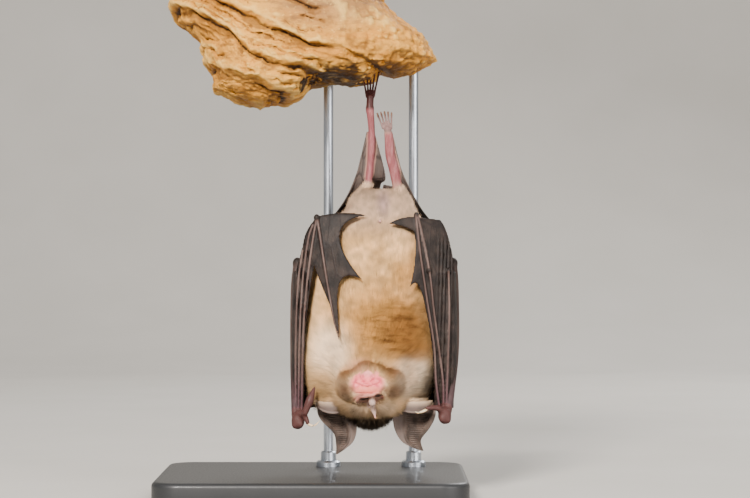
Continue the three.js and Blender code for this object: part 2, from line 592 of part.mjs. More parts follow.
add('thigh_left', furPale, (g) => limb(gripLeg.thigh, [4.2, 3.3, 1.6], { sides: 10, steps: 3, grow: g }));
add('thigh_right', furPale, (g) => limb(freeLeg.thigh, [4.6, 3.6, 1.9], { sides: 10, steps: 3, grow: g }));
add('foot_left', skinPink, gripFoot);
add('foot_right', skinPink, freeFoot);
add('shank_left', skinPink, (g) => limb(gripLeg.shank, [1.05, 0.95, 1.2, 1.3], { sides: 6, steps: 4, grow: g }),
  ['thigh_left', 'foot_left']);
add('shank_right', skinPink, (g) => limb(freeLeg.shank, [1.4, 1.6, 1.5, 1.4], { sides: 6, steps: 4, grow: g }),
  ['thigh_right', 'foot_right']);

const arms = ['upper_arm_left', 'upper_arm_right'];
const thighs = ['thigh_left', 'thigh_right'];
const tailRoot = (g) => limb(tailPath, [1.1, 0.95, 0.8, 0.6, 0.4], { sides: 6, steps: 7, grow: g });
add('tail', skinGrey, tailRoot);
const trunk = (name, steps) => (g) => trunkPiece(
  [trunkCuts[name][0] - (name === 'belly' ? 0 : gap / 2), trunkCuts[name][1] + gap / 2], { grow: g, steps });
add('belly', furPale, trunk('belly', 6), [...thighs, ...arms, 'tail']);
add('chest', furPale, trunk('chest', 3), arms);
add('neck', furPale, trunk('neck', 2), ['head', 'chin', ...arms]);

add('ear_left', skinGrey, () => ear(leftEar), ['head', 'neck']);
add('ear_right', skinGrey, () => ear(rightEar), ['head', 'neck']);
add('ear_lobe_left', skinGrey, () => lobe([-18.8, -7.0], 31.2, 27.2), ['head', 'neck', 'thumb_left', 'wrist_left']);
add('ear_lobe_right', skinGrey, () => lobe([6.6, 18.6], 31.0, 27.4), ['head', 'neck', 'thumb_right', 'thumb_claw_right']);

const handOf = (word) => ['forearm', 'wrist', 'thumb', 'finger_3', 'finger_4', 'finger_5', 'finger_3_tip', 'upper_arm']
  .map((name) => `${name}_${word}`);
add('wing_skin_front_left', wingSkin, () => wingFront(leftWingOutline()), [...handOf('left'), 'belly', 'chest']);
add('wing_skin_front_right', wingSkin, () => wingFront(rightWingOutline()), [...handOf('right'), 'belly', 'chest']);

/** The skin from a forearm round the flank to the back, in pleats. */
function flankWeb(side, sign) {
  const forearmEdge = side.forearm.map((p) => p.clone().add(vec(-0.2 * sign, 2.0, 0)));
  const flankEdge = [[72, 12.2], [62, 12.6], [46, 12.0], [29, 8.4]].map(([z, y]) => vec(sign * 12.5, y, z));
  return web(forearmEdge, flankEdge, { bulge: vec(sign * 3.0, 3.2, 0), pleats: 2, across: 8, along: 3 });
}
add('wing_skin_flank_left', wingSkin, () => flankWeb(left, -1),
  ['forearm_left', 'upper_arm_left', 'wrist_left', 'belly', 'chest', 'neck']);
add('wing_skin_flank_right', wingSkin, () => flankWeb(right, 1),
  ['forearm_right', 'upper_arm_right', 'wrist_right', 'belly', 'chest', 'neck']);

// The skin from the elbow past the hip to the ankle.
const legWebLeft = () => web(
  [vec(-23.6, 3.2, 77), vec(-16.6, 5.6, 85.5), vec(-9.6, 4.6, 94.6), vec(-5.8, 2.4, 102.7), vec(-3.9, 1.6, 109.4), vec(-2.5, 0.9, 115.6)],
  [vec(-15.5, 10.5, 76), vec(-11.6, 10.5, 84), vec(-6.0, 8.4, 94), vec(-1.4, 1.6, 102.7), vec(-1.0, 1.2, 109), vec(-0.8, 0.8, 115.6)],
  { bulge: vec(-0.8, 0.8, 0), pleats: 1, depth: 0.25, across: 4, along: 7 });
const legWebRight = () => web(
  [vec(24.4, 3.2, 77), vec(20.4, 5.4, 85.5), vec(14.9, 4.2, 92.6), vec(9.4, 0.4, 102.7), vec(7.1, -1.2, 109.4), vec(5.9, -2.2, 114.4)],
  [vec(15.5, 10.5, 76), vec(13.6, 10.5, 84), vec(10.0, 7.0, 94), vec(6.6, -0.4, 103), vec(5.2, -1.6, 109), vec(4.8, -2.4, 114.4)],
  { bulge: vec(0.8, 0.8, 0), pleats: 1, depth: 0.25, across: 4, along: 7 });
add('leg_skin_left', wingSkin, legWebLeft,
  ['shank_left', 'thigh_left', 'foot_left', 'belly', 'forearm_left', 'upper_arm_left']);
add('leg_skin_right', wingSkin, legWebRight,
  ['shank_right', 'thigh_right', 'foot_right', 'belly', 'forearm_right', 'upper_arm_right']);

// The skin between each leg and the tail, folded over the rump onto the back.
const tailWebLeft = () => web(
  [vec(-0.5, 1.0, 115), vec(-1.0, 1.7, 104), vec(-3.0, 6.4, 99.4), vec(-7.4, 10.8, 92), vec(-6.8, 12.6, 80)],
  [vec(0.6, 1.4, 114.6), vec(3.5, 3.2, 103), vec(2.4, 7.0, 100.2), vec(0.4, 12.8, 93), vec(-0.8, 14.6, 74)],
  { bulge: vec(0, 0.5, 0.2), pleats: 1, depth: 0.25, across: 4, along: 7 });
const tailWebRight = () => web(
  [vec(8.8, 5.2, 98.6), vec(9.4, 9.2, 93.6), vec(8.6, 11.8, 86), vec(6.4, 12.8, 79)],
  [vec(3.2, 7.2, 100), vec(2.6, 12.6, 94), vec(1.8, 14.0, 85), vec(1.4, 14.6, 74)],
  { bulge: vec(0, 0.5, 0.2), pleats: 1, depth: 0.25, across: 4, along: 6 });
add('tail_skin_left', wingSkin, tailWebLeft, ['shank_left', 'thigh_left', 'belly', 'tail']);
add('tail_skin_right', wingSkin, tailWebRight, ['thigh_right', 'shank_right', 'belly', 'tail']);

const rods = rod.x.map((x) => (g) => rodGeometry(x, g));
add('stand_rod_left', steel, rods[0]);
add('stand_rod_right', steel, rods[1]);
add('perch_rock', caveRock, () => rock().subtract(solid(cleft())),
  ['foot_left', 'stand_rod_left', 'stand_rod_right']);

const sockets = rods.map((make) => solid(make(gap)).translate([hangX, 0, 0]));
place(group, 'stand_base', sockets.reduce((shape, socket) => shape.subtract(socket), solid(standBase())), paint);

export default group;
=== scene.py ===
"""A horseshoe bat hanging head down by one foot from a piece of cave rock, on a display stand.

The bat is modelled in millimetres, with its belly towards -Y and the gripping leg at X = 0; put()
moves it to its place beside the stand's middle and turns it into metres.
"""
import math
from collections import namedtuple

import bpy
import numpy as np
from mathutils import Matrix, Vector
from mathutils.kdtree import KDTree


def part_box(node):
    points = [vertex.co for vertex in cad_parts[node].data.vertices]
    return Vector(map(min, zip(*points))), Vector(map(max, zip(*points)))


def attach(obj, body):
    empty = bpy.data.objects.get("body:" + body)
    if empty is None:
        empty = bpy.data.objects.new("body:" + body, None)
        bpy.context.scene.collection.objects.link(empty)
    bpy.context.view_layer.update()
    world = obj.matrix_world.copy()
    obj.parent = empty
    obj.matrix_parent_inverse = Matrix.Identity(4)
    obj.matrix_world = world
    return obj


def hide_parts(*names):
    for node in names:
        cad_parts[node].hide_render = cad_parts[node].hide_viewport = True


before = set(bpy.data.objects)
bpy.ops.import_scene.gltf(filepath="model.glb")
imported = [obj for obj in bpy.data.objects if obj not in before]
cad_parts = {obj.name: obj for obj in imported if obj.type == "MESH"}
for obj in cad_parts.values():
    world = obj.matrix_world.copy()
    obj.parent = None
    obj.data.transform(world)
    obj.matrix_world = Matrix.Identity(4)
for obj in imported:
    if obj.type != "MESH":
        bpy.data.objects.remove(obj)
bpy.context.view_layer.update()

MM = 0.001
HANG_X = 19.5  # the gripping leg hangs this far right of the stand's middle
FAR = 9.0  # a distance that is clear of every surface
SEED = 11
MIDDLE_X = -0.9  # the middle between the wings, from which places in the coat are measured
WING_SPREAD = 28.3  # half-width of the round surface that the folded wings lie on
SQUARENESS = 2.4  # the power that rounds the trunk's cross-section: 2 is an ellipse
LEAN = math.radians(11)  # the face leans a little to the left side
FACE_X = -1.4  # the head's middle
LOCK = 16  # tufts that are drawn together towards one point
STRAY = 0.07  # share of tufts that stand off from their lock
TUFT_WIDTH = 0.11  # at a tuft's root
UV_PATCH = 0.003  # size of the patch that a tuft or whisker has in its UV map
ROCK_TRIANGLES = 192000  # the rock's mesh is thinned to this
ROUND = 40  # sides of a rod and its collar

# Trunk, to the tips of the fur: height, middle, half-width, depth in front, depth behind.
TRUNK = [
    [97.8, 1.6, 2.8, 1.5, 2.8], [96.6, 1.7, 6.6, 3.7, 5.5], [94.2, 2.0, 9.4, 6.0, 8.0],
    [91.2, 2.0, 11.2, 8.0, 9.4], [87.0, 1.1, 14.8, 9.5, 10.4], [80.0, 0.0, 18.0, 11.2, 11.4],
    [69.0, -1.0, 19.8, 12.1, 12.4], [56.0, -1.8, 20.8, 12.5, 12.6], [45.0, -1.9, 20.6, 11.9, 11.2],
    [37.0, -1.9, 18.9, 10.2, 9.6], [30.6, -1.5, 16.0, 7.6, 8.2],
]
# Head, to the tips of the fur: place from back to front, height, half-width, half-height, coat.
HEAD = [
    [11.6, 32.5, 4.2, 4.4, 1.3], [9.4, 32.3, 7.6, 7.8, 1.5], [4.4, 32.0, 9.9, 10.1, 1.6],
    [-1.2, 31.9, 10.0, 9.9, 1.6], [-6.4, 33.4, 9.6, 8.0, 1.2], [-10.4, 35.7, 9.3, 5.7, 0.8],
    [-13.4, 36.6, 7.6, 4.2, 0.3], [-15.4, 36.8, 4.6, 2.4, 0.1],
]

# ---- numbers ------------------------------------------------------------------------------------


def vec(x, y, z):
    return np.array([x, y, z], float)


def unit(v):
    return v / np.maximum(np.linalg.norm(v, axis=-1, keepdims=True), 1e-9)


def away_from(points, place):
    return np.linalg.norm(points - place, axis=-1)


def within(points, centre, radii):
    """How far out points lie in an ellipsoid: 0 at its centre, 1 on its surface."""
    return np.linalg.norm((points - centre) / radii, axis=-1)


def step(value, low, high):
    """0 below low, 1 above high, and smooth between."""
    t = np.clip((np.asarray(value, float) - low) / (high - low), 0, 1)
    return t * t * (3 - 2 * t)


def spline(points, count):
    """Evenly numbered places along a smooth curve through points."""
    p = np.asarray(points, float)
    p = np.vstack([2 * p[0] - p[1], p, 2 * p[-1] - p[-2]])
    at = np.linspace(0, len(p) - 3 - 1e-9, count)
    k = at.astype(int)
    t = (at - k)[:, None]
    a, b, c, d = p[k], p[k + 1], p[k + 2], p[k + 3]
    return b + 0.5 * t * (c - a + t * (2 * a - 5 * b + 4 * c - d + t * (3 * (b - c) + d - a)))


def smooth_table(table, at):
    """The columns of a table at values of its first column, smoothly."""
    rows = spline(table, 12 * len(table))
    order = np.argsort(rows[:, 0])
    return [np.interp(at, rows[order, 0], rows[order, k]) for k in range(1, rows.shape[1])]


def noise(points, size, seed=0):
    """Smooth noise from -1 to 1, with lumps of a size."""
    p = points / size + 31.7 * (seed + 1)
    cell = np.floor(p).astype(np.int64)
    t = p - cell
    t = t * t * (3 - 2 * t)
    total = 0
    for corner in np.ndindex(2, 2, 2):
        key = (cell + corner) @ np.array([73856093, 19349663, 83492791])
        key = (key ^ (key >> 13)) * 1274126177 & 0x7FFFFFFF
        weight = np.prod(np.where(corner, t, 1 - t), axis=-1)
        total = total + weight * (key % 65536 / 32767.5 - 1)
    return total


def rough(points, size, layers=3, seed=0):
    """Noise of several sizes, each half the one before."""
    return sum(noise(points, size / 2**k, seed + k) / 2**k for k in range(layers))


# ---- shapes from distances ----------------------------------------------------------------------
Shape = namedtuple("Shape", "low high distance")


def smooth_min(a, b, soft):
    h = np.clip(0.5 + 0.5 * (b - a) / soft, 0, 1)
    return b + (a - b) * h - soft * h * (1 - h)


def axes_of(along, across):
    """Three directions at right angles, as rows: across, along and out of the plane."""
    along, across = unit(np.asarray(along, float)), unit(np.asarray(across, float))
    out = unit(np.cross(along, across))
    return np.stack([np.cross(out, along), along, out])


def ellipsoid(centre, radii, axes=None):
    centre, radii = np.asarray(centre, float), np.asarray(radii, float)
    turn = np.eye(3) if axes is None else axes

    def distance(p):
        q = (p - centre) @ turn.T / radii
        size = np.linalg.norm(q, axis=-1)
        return (size - 1) * radii.min() * np.where(size < 1, 1, radii.mean() / radii.min())

    reach = radii.max()
    return Shape(centre - reach, centre + reach, distance)


def tube(points, radii, count=None):
    """A round limb through points, with a radius at each point."""
    count = count or 6 * len(points)
    path = spline(points, count)
    size = np.interp(np.linspace(0, 1, count), np.linspace(0, 1, len(radii)), radii)

    def distance(p):
        best = np.full(p.shape[:-1], FAR)
        for k in range(count - 1):
            a, span = path[k], path[k + 1] - path[k]
            t = np.clip((p - a) @ span / max(span @ span, 1e-9), 0, 1)
            away = np.linalg.norm(p - a - t[..., None] * span, axis=-1)
            best = np.minimum(best, away - size[k] - t * (size[k + 1] - size[k]))
        return best

    reach = size.max()
    return Shape(path.min(0) - reach, path.max(0) + reach, distance)


class Block:
    """Distances from a surface at the corners of even cells: shapes are blended in or carved out."""

    def __init__(self, low, high, cell):
        self.low, self.cell = np.asarray(low, float), cell
        count = np.ceil((np.asarray(high) - self.low) / cell).astype(int) + 1
        self.value = np.full(count, FAR)

    def window(self, low, high, margin):
        first = np.floor((low - margin - self.low) / self.cell).astype(int)
        last = np.ceil((high + margin - self.low) / self.cell).astype(int) + 1
        first, last = np.maximum(first, 0), np.minimum(last, self.value.shape)
        part = tuple(slice(a, max(a, b)) for a, b in zip(first, last))
        lines = [self.low[i] + self.cell * np.arange(part[i].start, part[i].stop) for i in range(3)]
        return part, np.stack(np.meshgrid(*lines, indexing="ij"), -1)

    def blend(self, shape, soft=0.3):
        part, points = self.window(shape.low, shape.high, soft + 3 * self.cell)
        self.value[part] = smooth_min(self.value[part], shape.distance(points), soft)

    def carve(self, shape, soft=0.15):
        part, points = self.window(shape.low, shape.high, soft + 2 * self.cell)
        self.value[part] = -smooth_min(-self.value[part], shape.distance(points), soft)

    def blend_sheet(self, points, radius, soft=0.3):
        """Blends in a thin sheet, given as close points on its middle."""
        reach = int(np.ceil(radius / self.cell)) + 2
        inside = np.all((points > self.low + reach * self.cell)
                        & (points < self.low + self.cell * (np.array(self.value.shape) - reach - 1)), axis=1)
        points = points[inside]
        near = np.full(self.value.size, FAR)
        base = np.round((points - self.low) / self.cell).astype(int)
        for offset in np.ndindex(2 * reach + 1, 2 * reach + 1, 2 * reach + 1):
            index = base + offset - reach
            away = np.linalg.norm(self.low + self.cell * index - points, axis=1) - radius
            np.minimum.at(near, np.ravel_multi_index(index.T, self.value.shape), away)
        self.value = smooth_min(self.value, near.reshape(self.value.shape), soft)

    def surface(self):
        """Points and four-sided faces of the surface where the distance is zero."""
        value = self.value
        shape = np.array(value.shape)
        total, count, quads = np.zeros((value.size, 3)), np.zeros(value.size), []
        for axis in range(3):
            near = [slice(1, -1)] * 3
            far = list(near)
            near[axis], far[axis] = slice(0, -1), slice(1, None)
            a, b = value[tuple(near)], value[tuple(far)]
            start = np.argwhere((a < 0) != (b < 0))
            here, there = a[tuple(start.T)], b[tuple(start.T)]
            start = start + np.where(np.arange(3) == axis, 0, 1)
            cross = start.astype(float)
            cross[:, axis] += here / (here - there)
            u, v = [k for k in range(3) if k != axis]
            corners = []
            for du, dv in ((0, 0), (1, 0), (1, 1), (0, 1)):
                cell = start.copy()
                cell[:, u] -= du
                cell[:, v] -= dv
                key = np.ravel_multi_index(cell.T, shape)
                count += np.bincount(key, minlength=value.size)
                for k in range(3):
                    total[:, k] += np.bincount(key, cross[:, k], minlength=value.size)
                corners.append(key)
            quad = np.stack(corners, 1)
            turned = (here < 0) == (axis == 1)
            quad[turned] = quad[turned, ::-1]
            quads.append(quad)
        quads = np.concatenate(quads)
        used = np.flatnonzero(count)
        number = np.zeros(value.size, int)
        number[used] = np.arange(len(used))
        points = self.low + self.cell * total[used] / count[used, None]
        return points, number[quads]


def sheet(at, across, along, thick):
    """A closed skin with the surface at(u, v) as its middle and thick(u, v) as its thickness."""
    u, v = [g.ravel() for g in np.meshgrid(np.linspace(0, 1, across + 1), np.linspace(0, 1, along + 1))]
    small = 0.004  # a step over the surface, to find its normal
    uu, vv = np.clip(u, small, 1 - small), np.clip(v, small, 1 - small)
    du, dv = at(uu + small, vv) - at(uu - small, vv), at(uu, vv + small) - at(uu, vv - small)
    normal = unit(np.cross(du, dv))
    middle, half = at(u, v), 0.5 * thick(u, v)[:, None]
    points = np.vstack([middle + normal * half, middle - normal * half])
    row, layer = across + 1, len(middle)
    j, i = [g.ravel() for g in np.meshgrid(np.arange(along), np.arange(across), indexing="ij")]
    a = j * row + i
    front = np.stack([a, a + 1, a + row + 1, a + row], 1)
    back = front[:, ::-1] + layer
    j, i = np.arange(along) * row, np.arange(across)
    top = along * row
    walls = [
        np.stack([j, j + row, j + row + layer, j + layer], 1),
        np.stack([j + row + across, j + across, j + across + layer, j + row + across + layer], 1),
        np.stack([i + 1, i, i + layer, i + 1 + layer], 1),
        np.stack([top + i, top + i + 1, top + i + 1 + layer, top + i + layer], 1),
    ]
    return points, np.concatenate([front, back, *walls])


def loft(rings):
    """A closed shape over rings of equal count, with its ends closed to their middles."""
    rings = np.asarray(rings, float)
    many, count = rings.shape[:2]
    points = np.vstack([rings.reshape(-1, 3), rings[0].mean(0), rings[-1].mean(0)])
    r, i = [g.ravel() for g in np.meshgrid(np.arange(many - 1), np.arange(count), indexing="ij")]
    after = (i + 1) % count
    quads = np.stack([r * count + i, r * count + after, (r + 1) * count + after, (r + 1) * count + i], 1)
    i = np.arange(count)
    after = (i + 1) % count
    first, last = np.full(count, many * count), np.full(count, many * count + 1)
    end = (many - 1) * count
    caps = np.concatenate([np.stack([first, after, i], 1), np.stack([last, end + i, end + after], 1)])
    return points, quads, caps


# ---- meshes -------------------------------------------------------------------------------------


def put(points):
    """From the bat's own millimetres to the frame's metres."""
    return (points + [HANG_X, 0, 0]) * MM


def mesh_of(name, points, faces, attributes=None, uv=None):
    """An object from points in metres and arrays of faces; attributes hold a value for each point."""
    mesh = bpy.data.meshes.new(name)
    faces = [f for f in faces if len(f)]
    corners = np.concatenate([f.ravel() for f in faces])
    sizes = np.concatenate([np.full(len(f), f.shape[1]) for f in faces])
    mesh.vertices.add(len(points))
    mesh.vertices.foreach_set("co", np.ascontiguousarray(points, np.float32).ravel())
    mesh.loops.add(len(corners))
    mesh.loops.foreach_set("vertex_index", corners.astype(np.int32))
    mesh.polygons.add(len(sizes))
    mesh.polygons.foreach_set("loop_start", (np.cumsum(sizes) - sizes).astype(np.int32))
    mesh.polygons.foreach_set("use_smooth", np.ones(len(sizes), bool))
    mesh.update(calc_edges=True)
    for key, values in (attributes or {}).items():
        layer = mesh.attributes.new(key, "FLOAT", "POINT")
        layer.data.foreach_set("value", np.ascontiguousarray(values, np.float32))
    if uv is not None:
        layer = mesh.uv_layers.new(name="OFBake")
        layer.data.foreach_set("uv", np.ascontiguousarray(uv[corners], np.float32).ravel())
    thing = bpy.data.objects.new(name, mesh)
    bpy.context.scene.collection.objects.link(thing)
    return thing


def points_of(thing):
    data = np.empty(3 * len(thing.data.vertices), np.float32)
    thing.data.vertices.foreach_get("co", data)
    return data.reshape(-1, 3).astype(float)


def join_up(pieces):
    """Several lists of points and faces as one."""
    points, faces, base = [], [], 0
    for part in pieces:
        points.append(part[0])
        faces += [f + base for f in part[1:]]
        base += len(part[0])
    return np.vstack(points), faces


def apply_modifier(thing, kind, **settings):
    bpy.ops.object.select_all(action="DESELECT")
    bpy.context.view_layer.objects.active = thing
    thing.select_set(True)
    modifier = thing.modifiers.new(kind, kind)
    for key, value in settings.items():
        setattr(modifier, key, value)
    bpy.ops.object.modifier_apply(modifier=modifier.name)


# ---- trunk --------------------------------------------------------------------------------------


def coat_depth(z):
    """How far the skin of the trunk lies inside the tips of the fur."""
    return np.interp(z, [30, 45, 70, 90, 98], [2.2, 2.5, 2.4, 1.8, 1.2])


def trunk_distance(p):
    z = np.clip(p[..., 2], 30.6, 97.8)
    middle, half, front, back = smooth_table(TRUNK, z)
    coat = coat_depth(z)
    deep = np.where(p[..., 1] < 0, front, back) - coat
    half, deep = np.maximum(half - coat, 0.2), np.maximum(deep, 0.2)
    across, through = np.abs(p[..., 0] - middle) / half, np.abs(p[..., 1]) / deep
    size = (across**SQUARENESS + through**SQUARENESS) ** (1 / SQUARENESS)
    ends = np.maximum(p[..., 2] - 97.2, 30.8 - p[..., 2])
    return np.maximum((size - 1) * np.minimum(half, deep), ends)


TRUNK_SHAPE = Shape(vec(-24, -14, 29), vec(22, 15, 100), trunk_distance)
ARMS = {
    -1: {
        "upper": [(-16.5, 5.5, 47), (-20.4, 3.4, 61), (-24.3, 1.2, 75)],
        "forearm": [(-24.5, 0.6, 74.6), (-25.4, -0.6, 66), (-25.7, -2.6, 46), (-25.1, -5.6, 26.8)],
        "wrist": (-24.1, -6.8, 24.9),
        "thumb": [(-23.6, -7.4, 27.2), (-22.4, -8.6, 27.2), (-21.5, -9.2, 25.8), (-20.9, -9.6, 24.4)],
        "claw": [(-21.1, -9.5, 24.7), (-20.4, -9.9, 23.9), (-19.2, -10.1, 23.6), (-18.1, -9.8, 24.1),
                 (-17.2, -9.4, 25.2)],
        "fingers": [
            [(-23.0, 26.4), (-22.5, 50), (-21.4, 66.6), (-19.5, 81.3), (-18.1, 89.4)],
            [(-18.0, 89.4), (-16.2, 78), (-14.6, 68), (-12.6, 57), (-11.0, 51)],
            [(-24.0, 26.4), (-23.6, 50), (-22.7, 68), (-20.9, 82), (-19.4, 87)],
            [(-24.9, 26.8), (-24.8, 50), (-24.1, 68), (-22.6, 79)],
        ],
        "knobs": [(-18.1, 89.3, 1.0), (-22.0, 62, 0.62)],
    },
    1: {
        "upper": [(13.5, 5.5, 47), (19.3, 3.4, 61), (25.2, 1.2, 75)],
        "forearm": [(25.3, 0.6, 74.6), (25.9, -0.6, 66), (26.0, -2.6, 46), (23.6, -6.2, 28)],
        "wrist": (22.4, -7.6, 26.6),
        "thumb": [(21.6, -8.2, 28.0), (20.4, -9.4, 29.0), (18.6, -10.4, 29.3), (16.8, -10.8, 29.1)],
        "claw": [(16.9, -10.8, 29.0), (15.9, -11.0, 28.4), (14.8, -11.0, 27.9), (13.8, -10.8, 27.7),
                 (13.0, -10.4, 28.1)],
        "fingers": [
            [(20.9, 27.8), (19.6, 37.6), (19.0, 49), (16.6, 64.3), (14.6, 78.2), (13.2, 90.2)],
            [(22.0, 27.8), (21.9, 37), (20.4, 49), (18.8, 61), (17.4, 73), (13.9, 90)],
            [(22.9, 28.2), (23.5, 46), (23.9, 60), (23.6, 72.5)],
        ],
        "knobs": [(13.4, 90.2, 0.8), (17.4, 72.7, 0.86), (23.6, 72.6, 0.7)],
    },
}
THIGHS = [
    ([(-5.2, 2.4, 90.2), (-4.2, 1.8, 94.6), (-2.0, 1.3, 99.2)], [3.0, 2.3, 1.2]),
    ([(9.0, 2.0, 90), (8.4, 1.0, 94.5), (7.8, -0.2, 97.8)], [3.2, 2.5, 1.5]),
]
TAIL = [(1.3, 9.2, 97.6), (1.4, 12.2, 94.4), (1.0, 13.9, 86), (0.5, 14.6, 78), (0.2, 14.8, 71)]
NIPPLE = vec(1.9, -8.9, 88.2)


def trunk():
    """Belly, chest and neck with the roots of the limbs, as deep as the coat inside the fur's tips."""
    block = Block((-28, -15, 28), (28, 17, 103), 0.75)
    block.blend(TRUNK_SHAPE, 1.0)
    for path, sizes in THIGHS:
        block.blend(tube(path, sizes), 2.0)
    for side in ARMS.values():
        block.blend(tube(side["upper"], [2.6, 1.9, 1.1]), 1.6)
    block.blend(ellipsoid((-1.4, -6.0, 35.5), (10.3, 5.2, 9.4)), 4.0)
    block.blend(ellipsoid(NIPPLE, (0.7, 1.3, 0.9)), 0.3)
    return block.surface()


# ---- head ---------------------------------------------------------------------------------------
LEAF_START = vec(-1.7, -15.9, 33.5)
LEAF_ALONG = unit(vec(0.16, 0.9, -0.42))
LEAF = axes_of(LEAF_ALONG, (0.98, 0, 0.19))  # across, along and out of the noseleaf's plane
NOSE = vec(-2.0, -15.0, 32.0)
EYES = {"left": vec(-6.3, -8.4, 28.4), "right": vec(4.3, -8.4, 29.6)}
EYE_RADIUS = 0.75
NOSTRILS = (-1.9, 2.8)  # how far each lies across the noseleaf


def on_leaf(s, t, lift=0.0):
    """A place on the noseleaf: s across it, t from the lip to the brow."""
    return LEAF_START + s * LEAF[0] + t * LEAF[1] + lift * LEAF[2]


def head_distance(p):
    columns = smooth_table([[-row[0], *row[1:], k / 7] for k, row in enumerate(HEAD)], -p[..., 1])
    height, half, high, coat, share = columns
    half, high = np.maximum(half - coat, 0.3), np.maximum(high - coat, 0.3)
    lean = LEAN * share
    x, z = p[..., 0] - FACE_X, p[..., 2] - height
    across, up = x * np.cos(lean) + z * np.sin(lean), z * np.cos(lean) - x * np.sin(lean)
    size = np.hypot(across / half, up / high)
    ends = np.maximum(p[..., 1] - 10.6, -15.2 - p[..., 1])
    return np.maximum((size - 1) * np.minimum(half, high), ends)


def head():
    """Head with muzzle, lips, noseleaf and lids."""
    cos, sin = math.cos(LEAN), math.sin(LEAN)
    lean = np.array([[cos, 0, sin], [0, 1, 0], [-sin, 0, cos]])
    block = Block((-13.5, -20.5, 19.5), (11.5, 13, 44.5), 0.25)
    block.blend(Shape(vec(-12, -15.4, 21), vec(9.5, 11.6, 43), head_distance), 0.4)
    # chin, cheeks and the broad muzzle under the noseleaf
    block.blend(ellipsoid((-2.0, -12.0, 38.4), (5.2, 3.6, 4.2), lean), 1.2)
    for x, z in ((-7.2, 36.0), (4.4, 36.8)):
        block.blend(ellipsoid((x, -10.0, z), (3.2, 3.7, 4.6), lean), 1.4)
    block.blend(ellipsoid(on_leaf(0, 3.2, -2.3), (5.9, 4.6, 2.6), LEAF), 1.0)
    # lower lip: a V under the chin's folds
    lip = np.array([(-7.0, -12.6, 38.6), (-4.9, -15.2, 37.6), (-2.1, -16.3, 36.8), (0.9, -15.2, 37.7),
                    (3.1, -12.6, 38.9)])
    block.blend(tube(lip, [0.3, 0.42, 0.5, 0.42, 0.3], 24), 0.5)
    for spread in (-1.2, 1.2):
        fold = [(-2.1 + spread, -15.0, 40.6), (-2.1 + 1.5 * spread, -15.5, 39.3),
                (-2.1 + 0.4 * spread, -15.9, 37.9)]
        block.blend(tube(fold, [0.25, 0.4, 0.34], 12), 0.5)
    block.blend(ellipsoid((-2.1, -16.7, 36.7), (0.5, 0.45, 0.45)), 0.25)
    block.carve(tube(lip + [0, -0.45, -0.62], [0.1, 0.16, 0.2, 0.16, 0.1], 24), 0.2)
    # upper lip: a smooth full band that the noseleaf's rim overhangs
    upper = np.array([(-7.4, -11.6, 36.4), (-5.2, -14.4, 35.4), (-2.1, -15.6, 35.15), (1.0, -14.4, 35.5),
                      (3.6, -11.6, 36.6)])
    block.blend(tube(upper, [0.9, 1.15, 1.15, 1.15, 0.9], 24), 0.7)
    block.carve(tube(upper + [0, -0.75, -1.05], [0.12, 0.2, 0.2, 0.2, 0.12], 24), 0.15)
    # horseshoe: a dish with a raised rim, open towards the lancet
    angles = np.radians(np.linspace(-128, 128, 13))
    rim = [on_leaf(4.4 * math.sin(a), 3.1 - 3.4 * math.cos(a), 0.25 - 0.35 * math.sin(a) ** 2)
           for a in angles]
    block.carve(ellipsoid(on_leaf(0, 2.6, 1.1), (3.7, 2.3, 1.3), LEAF), 0.3)
    block.blend(tube(rim, [0.2, 0.5, 0.56, 0.5, 0.2], 30), 0.3)
    block.carve(tube([on_leaf(-0.2, -1.1, 0.5), on_leaf(-0.2, 0.2, 0.9)], [0.2, 0.16]), 0.15)
    for s in NOSTRILS:
        block.carve(ellipsoid(on_leaf(s, 1.7, 0.0), (1.35, 0.85, 1.7), LEAF), 0.25)
    # sella, its ridge up to the lancet, and the lancet with its cells
    sella = [on_leaf(0.3, 2.4, -0.4), on_leaf(0.4, 2.6, 0.8), on_leaf(0.5, 2.8, 1.6)]
    block.blend(tube(sella, [1.2, 1.05, 1.1]), 0.3)
    ridge = [on_leaf(0.4, 3.2, 1.2), on_leaf(0.2, 4.9, 1.5), on_leaf(0.0, 6.4, 1.0)]
    block.blend(tube(ridge, [0.5, 0.4, 0.5]), 0.4)
    block.blend(ellipsoid(on_leaf(0.0, 6.4, 0.2), (2.3, 0.9, 1.6), LEAF), 0.6)
    lancet = [on_leaf(0.0, 6.5, 0.6), on_leaf(0.1, 7.0, 2.6), on_leaf(0.1, 7.4, 4.9)]
    block.blend(tube(lancet, [1.4, 0.8, 0.22]), 0.4)
    for s in (-0.95, 0.95):
        for t, lift in ((5.9, 1.0), (6.3, 2.1)):
            block.carve(ellipsoid(on_leaf(s * (1.25 - 0.22 * lift), t, lift), (0.5, 0.5, 0.5), LEAF), 0.2)
    for eye in EYES.values():
        block.blend(ellipsoid(eye, (1.15, 1.0, 1.05)), 0.5)
        block.carve(ellipsoid(eye, (0.78, 0.78, 0.78)), 0.05)
        block.carve(ellipsoid(eye + [0, -0.85, -0.6], (0.75, 0.5, 0.36)), 0.2)
    return block.surface()


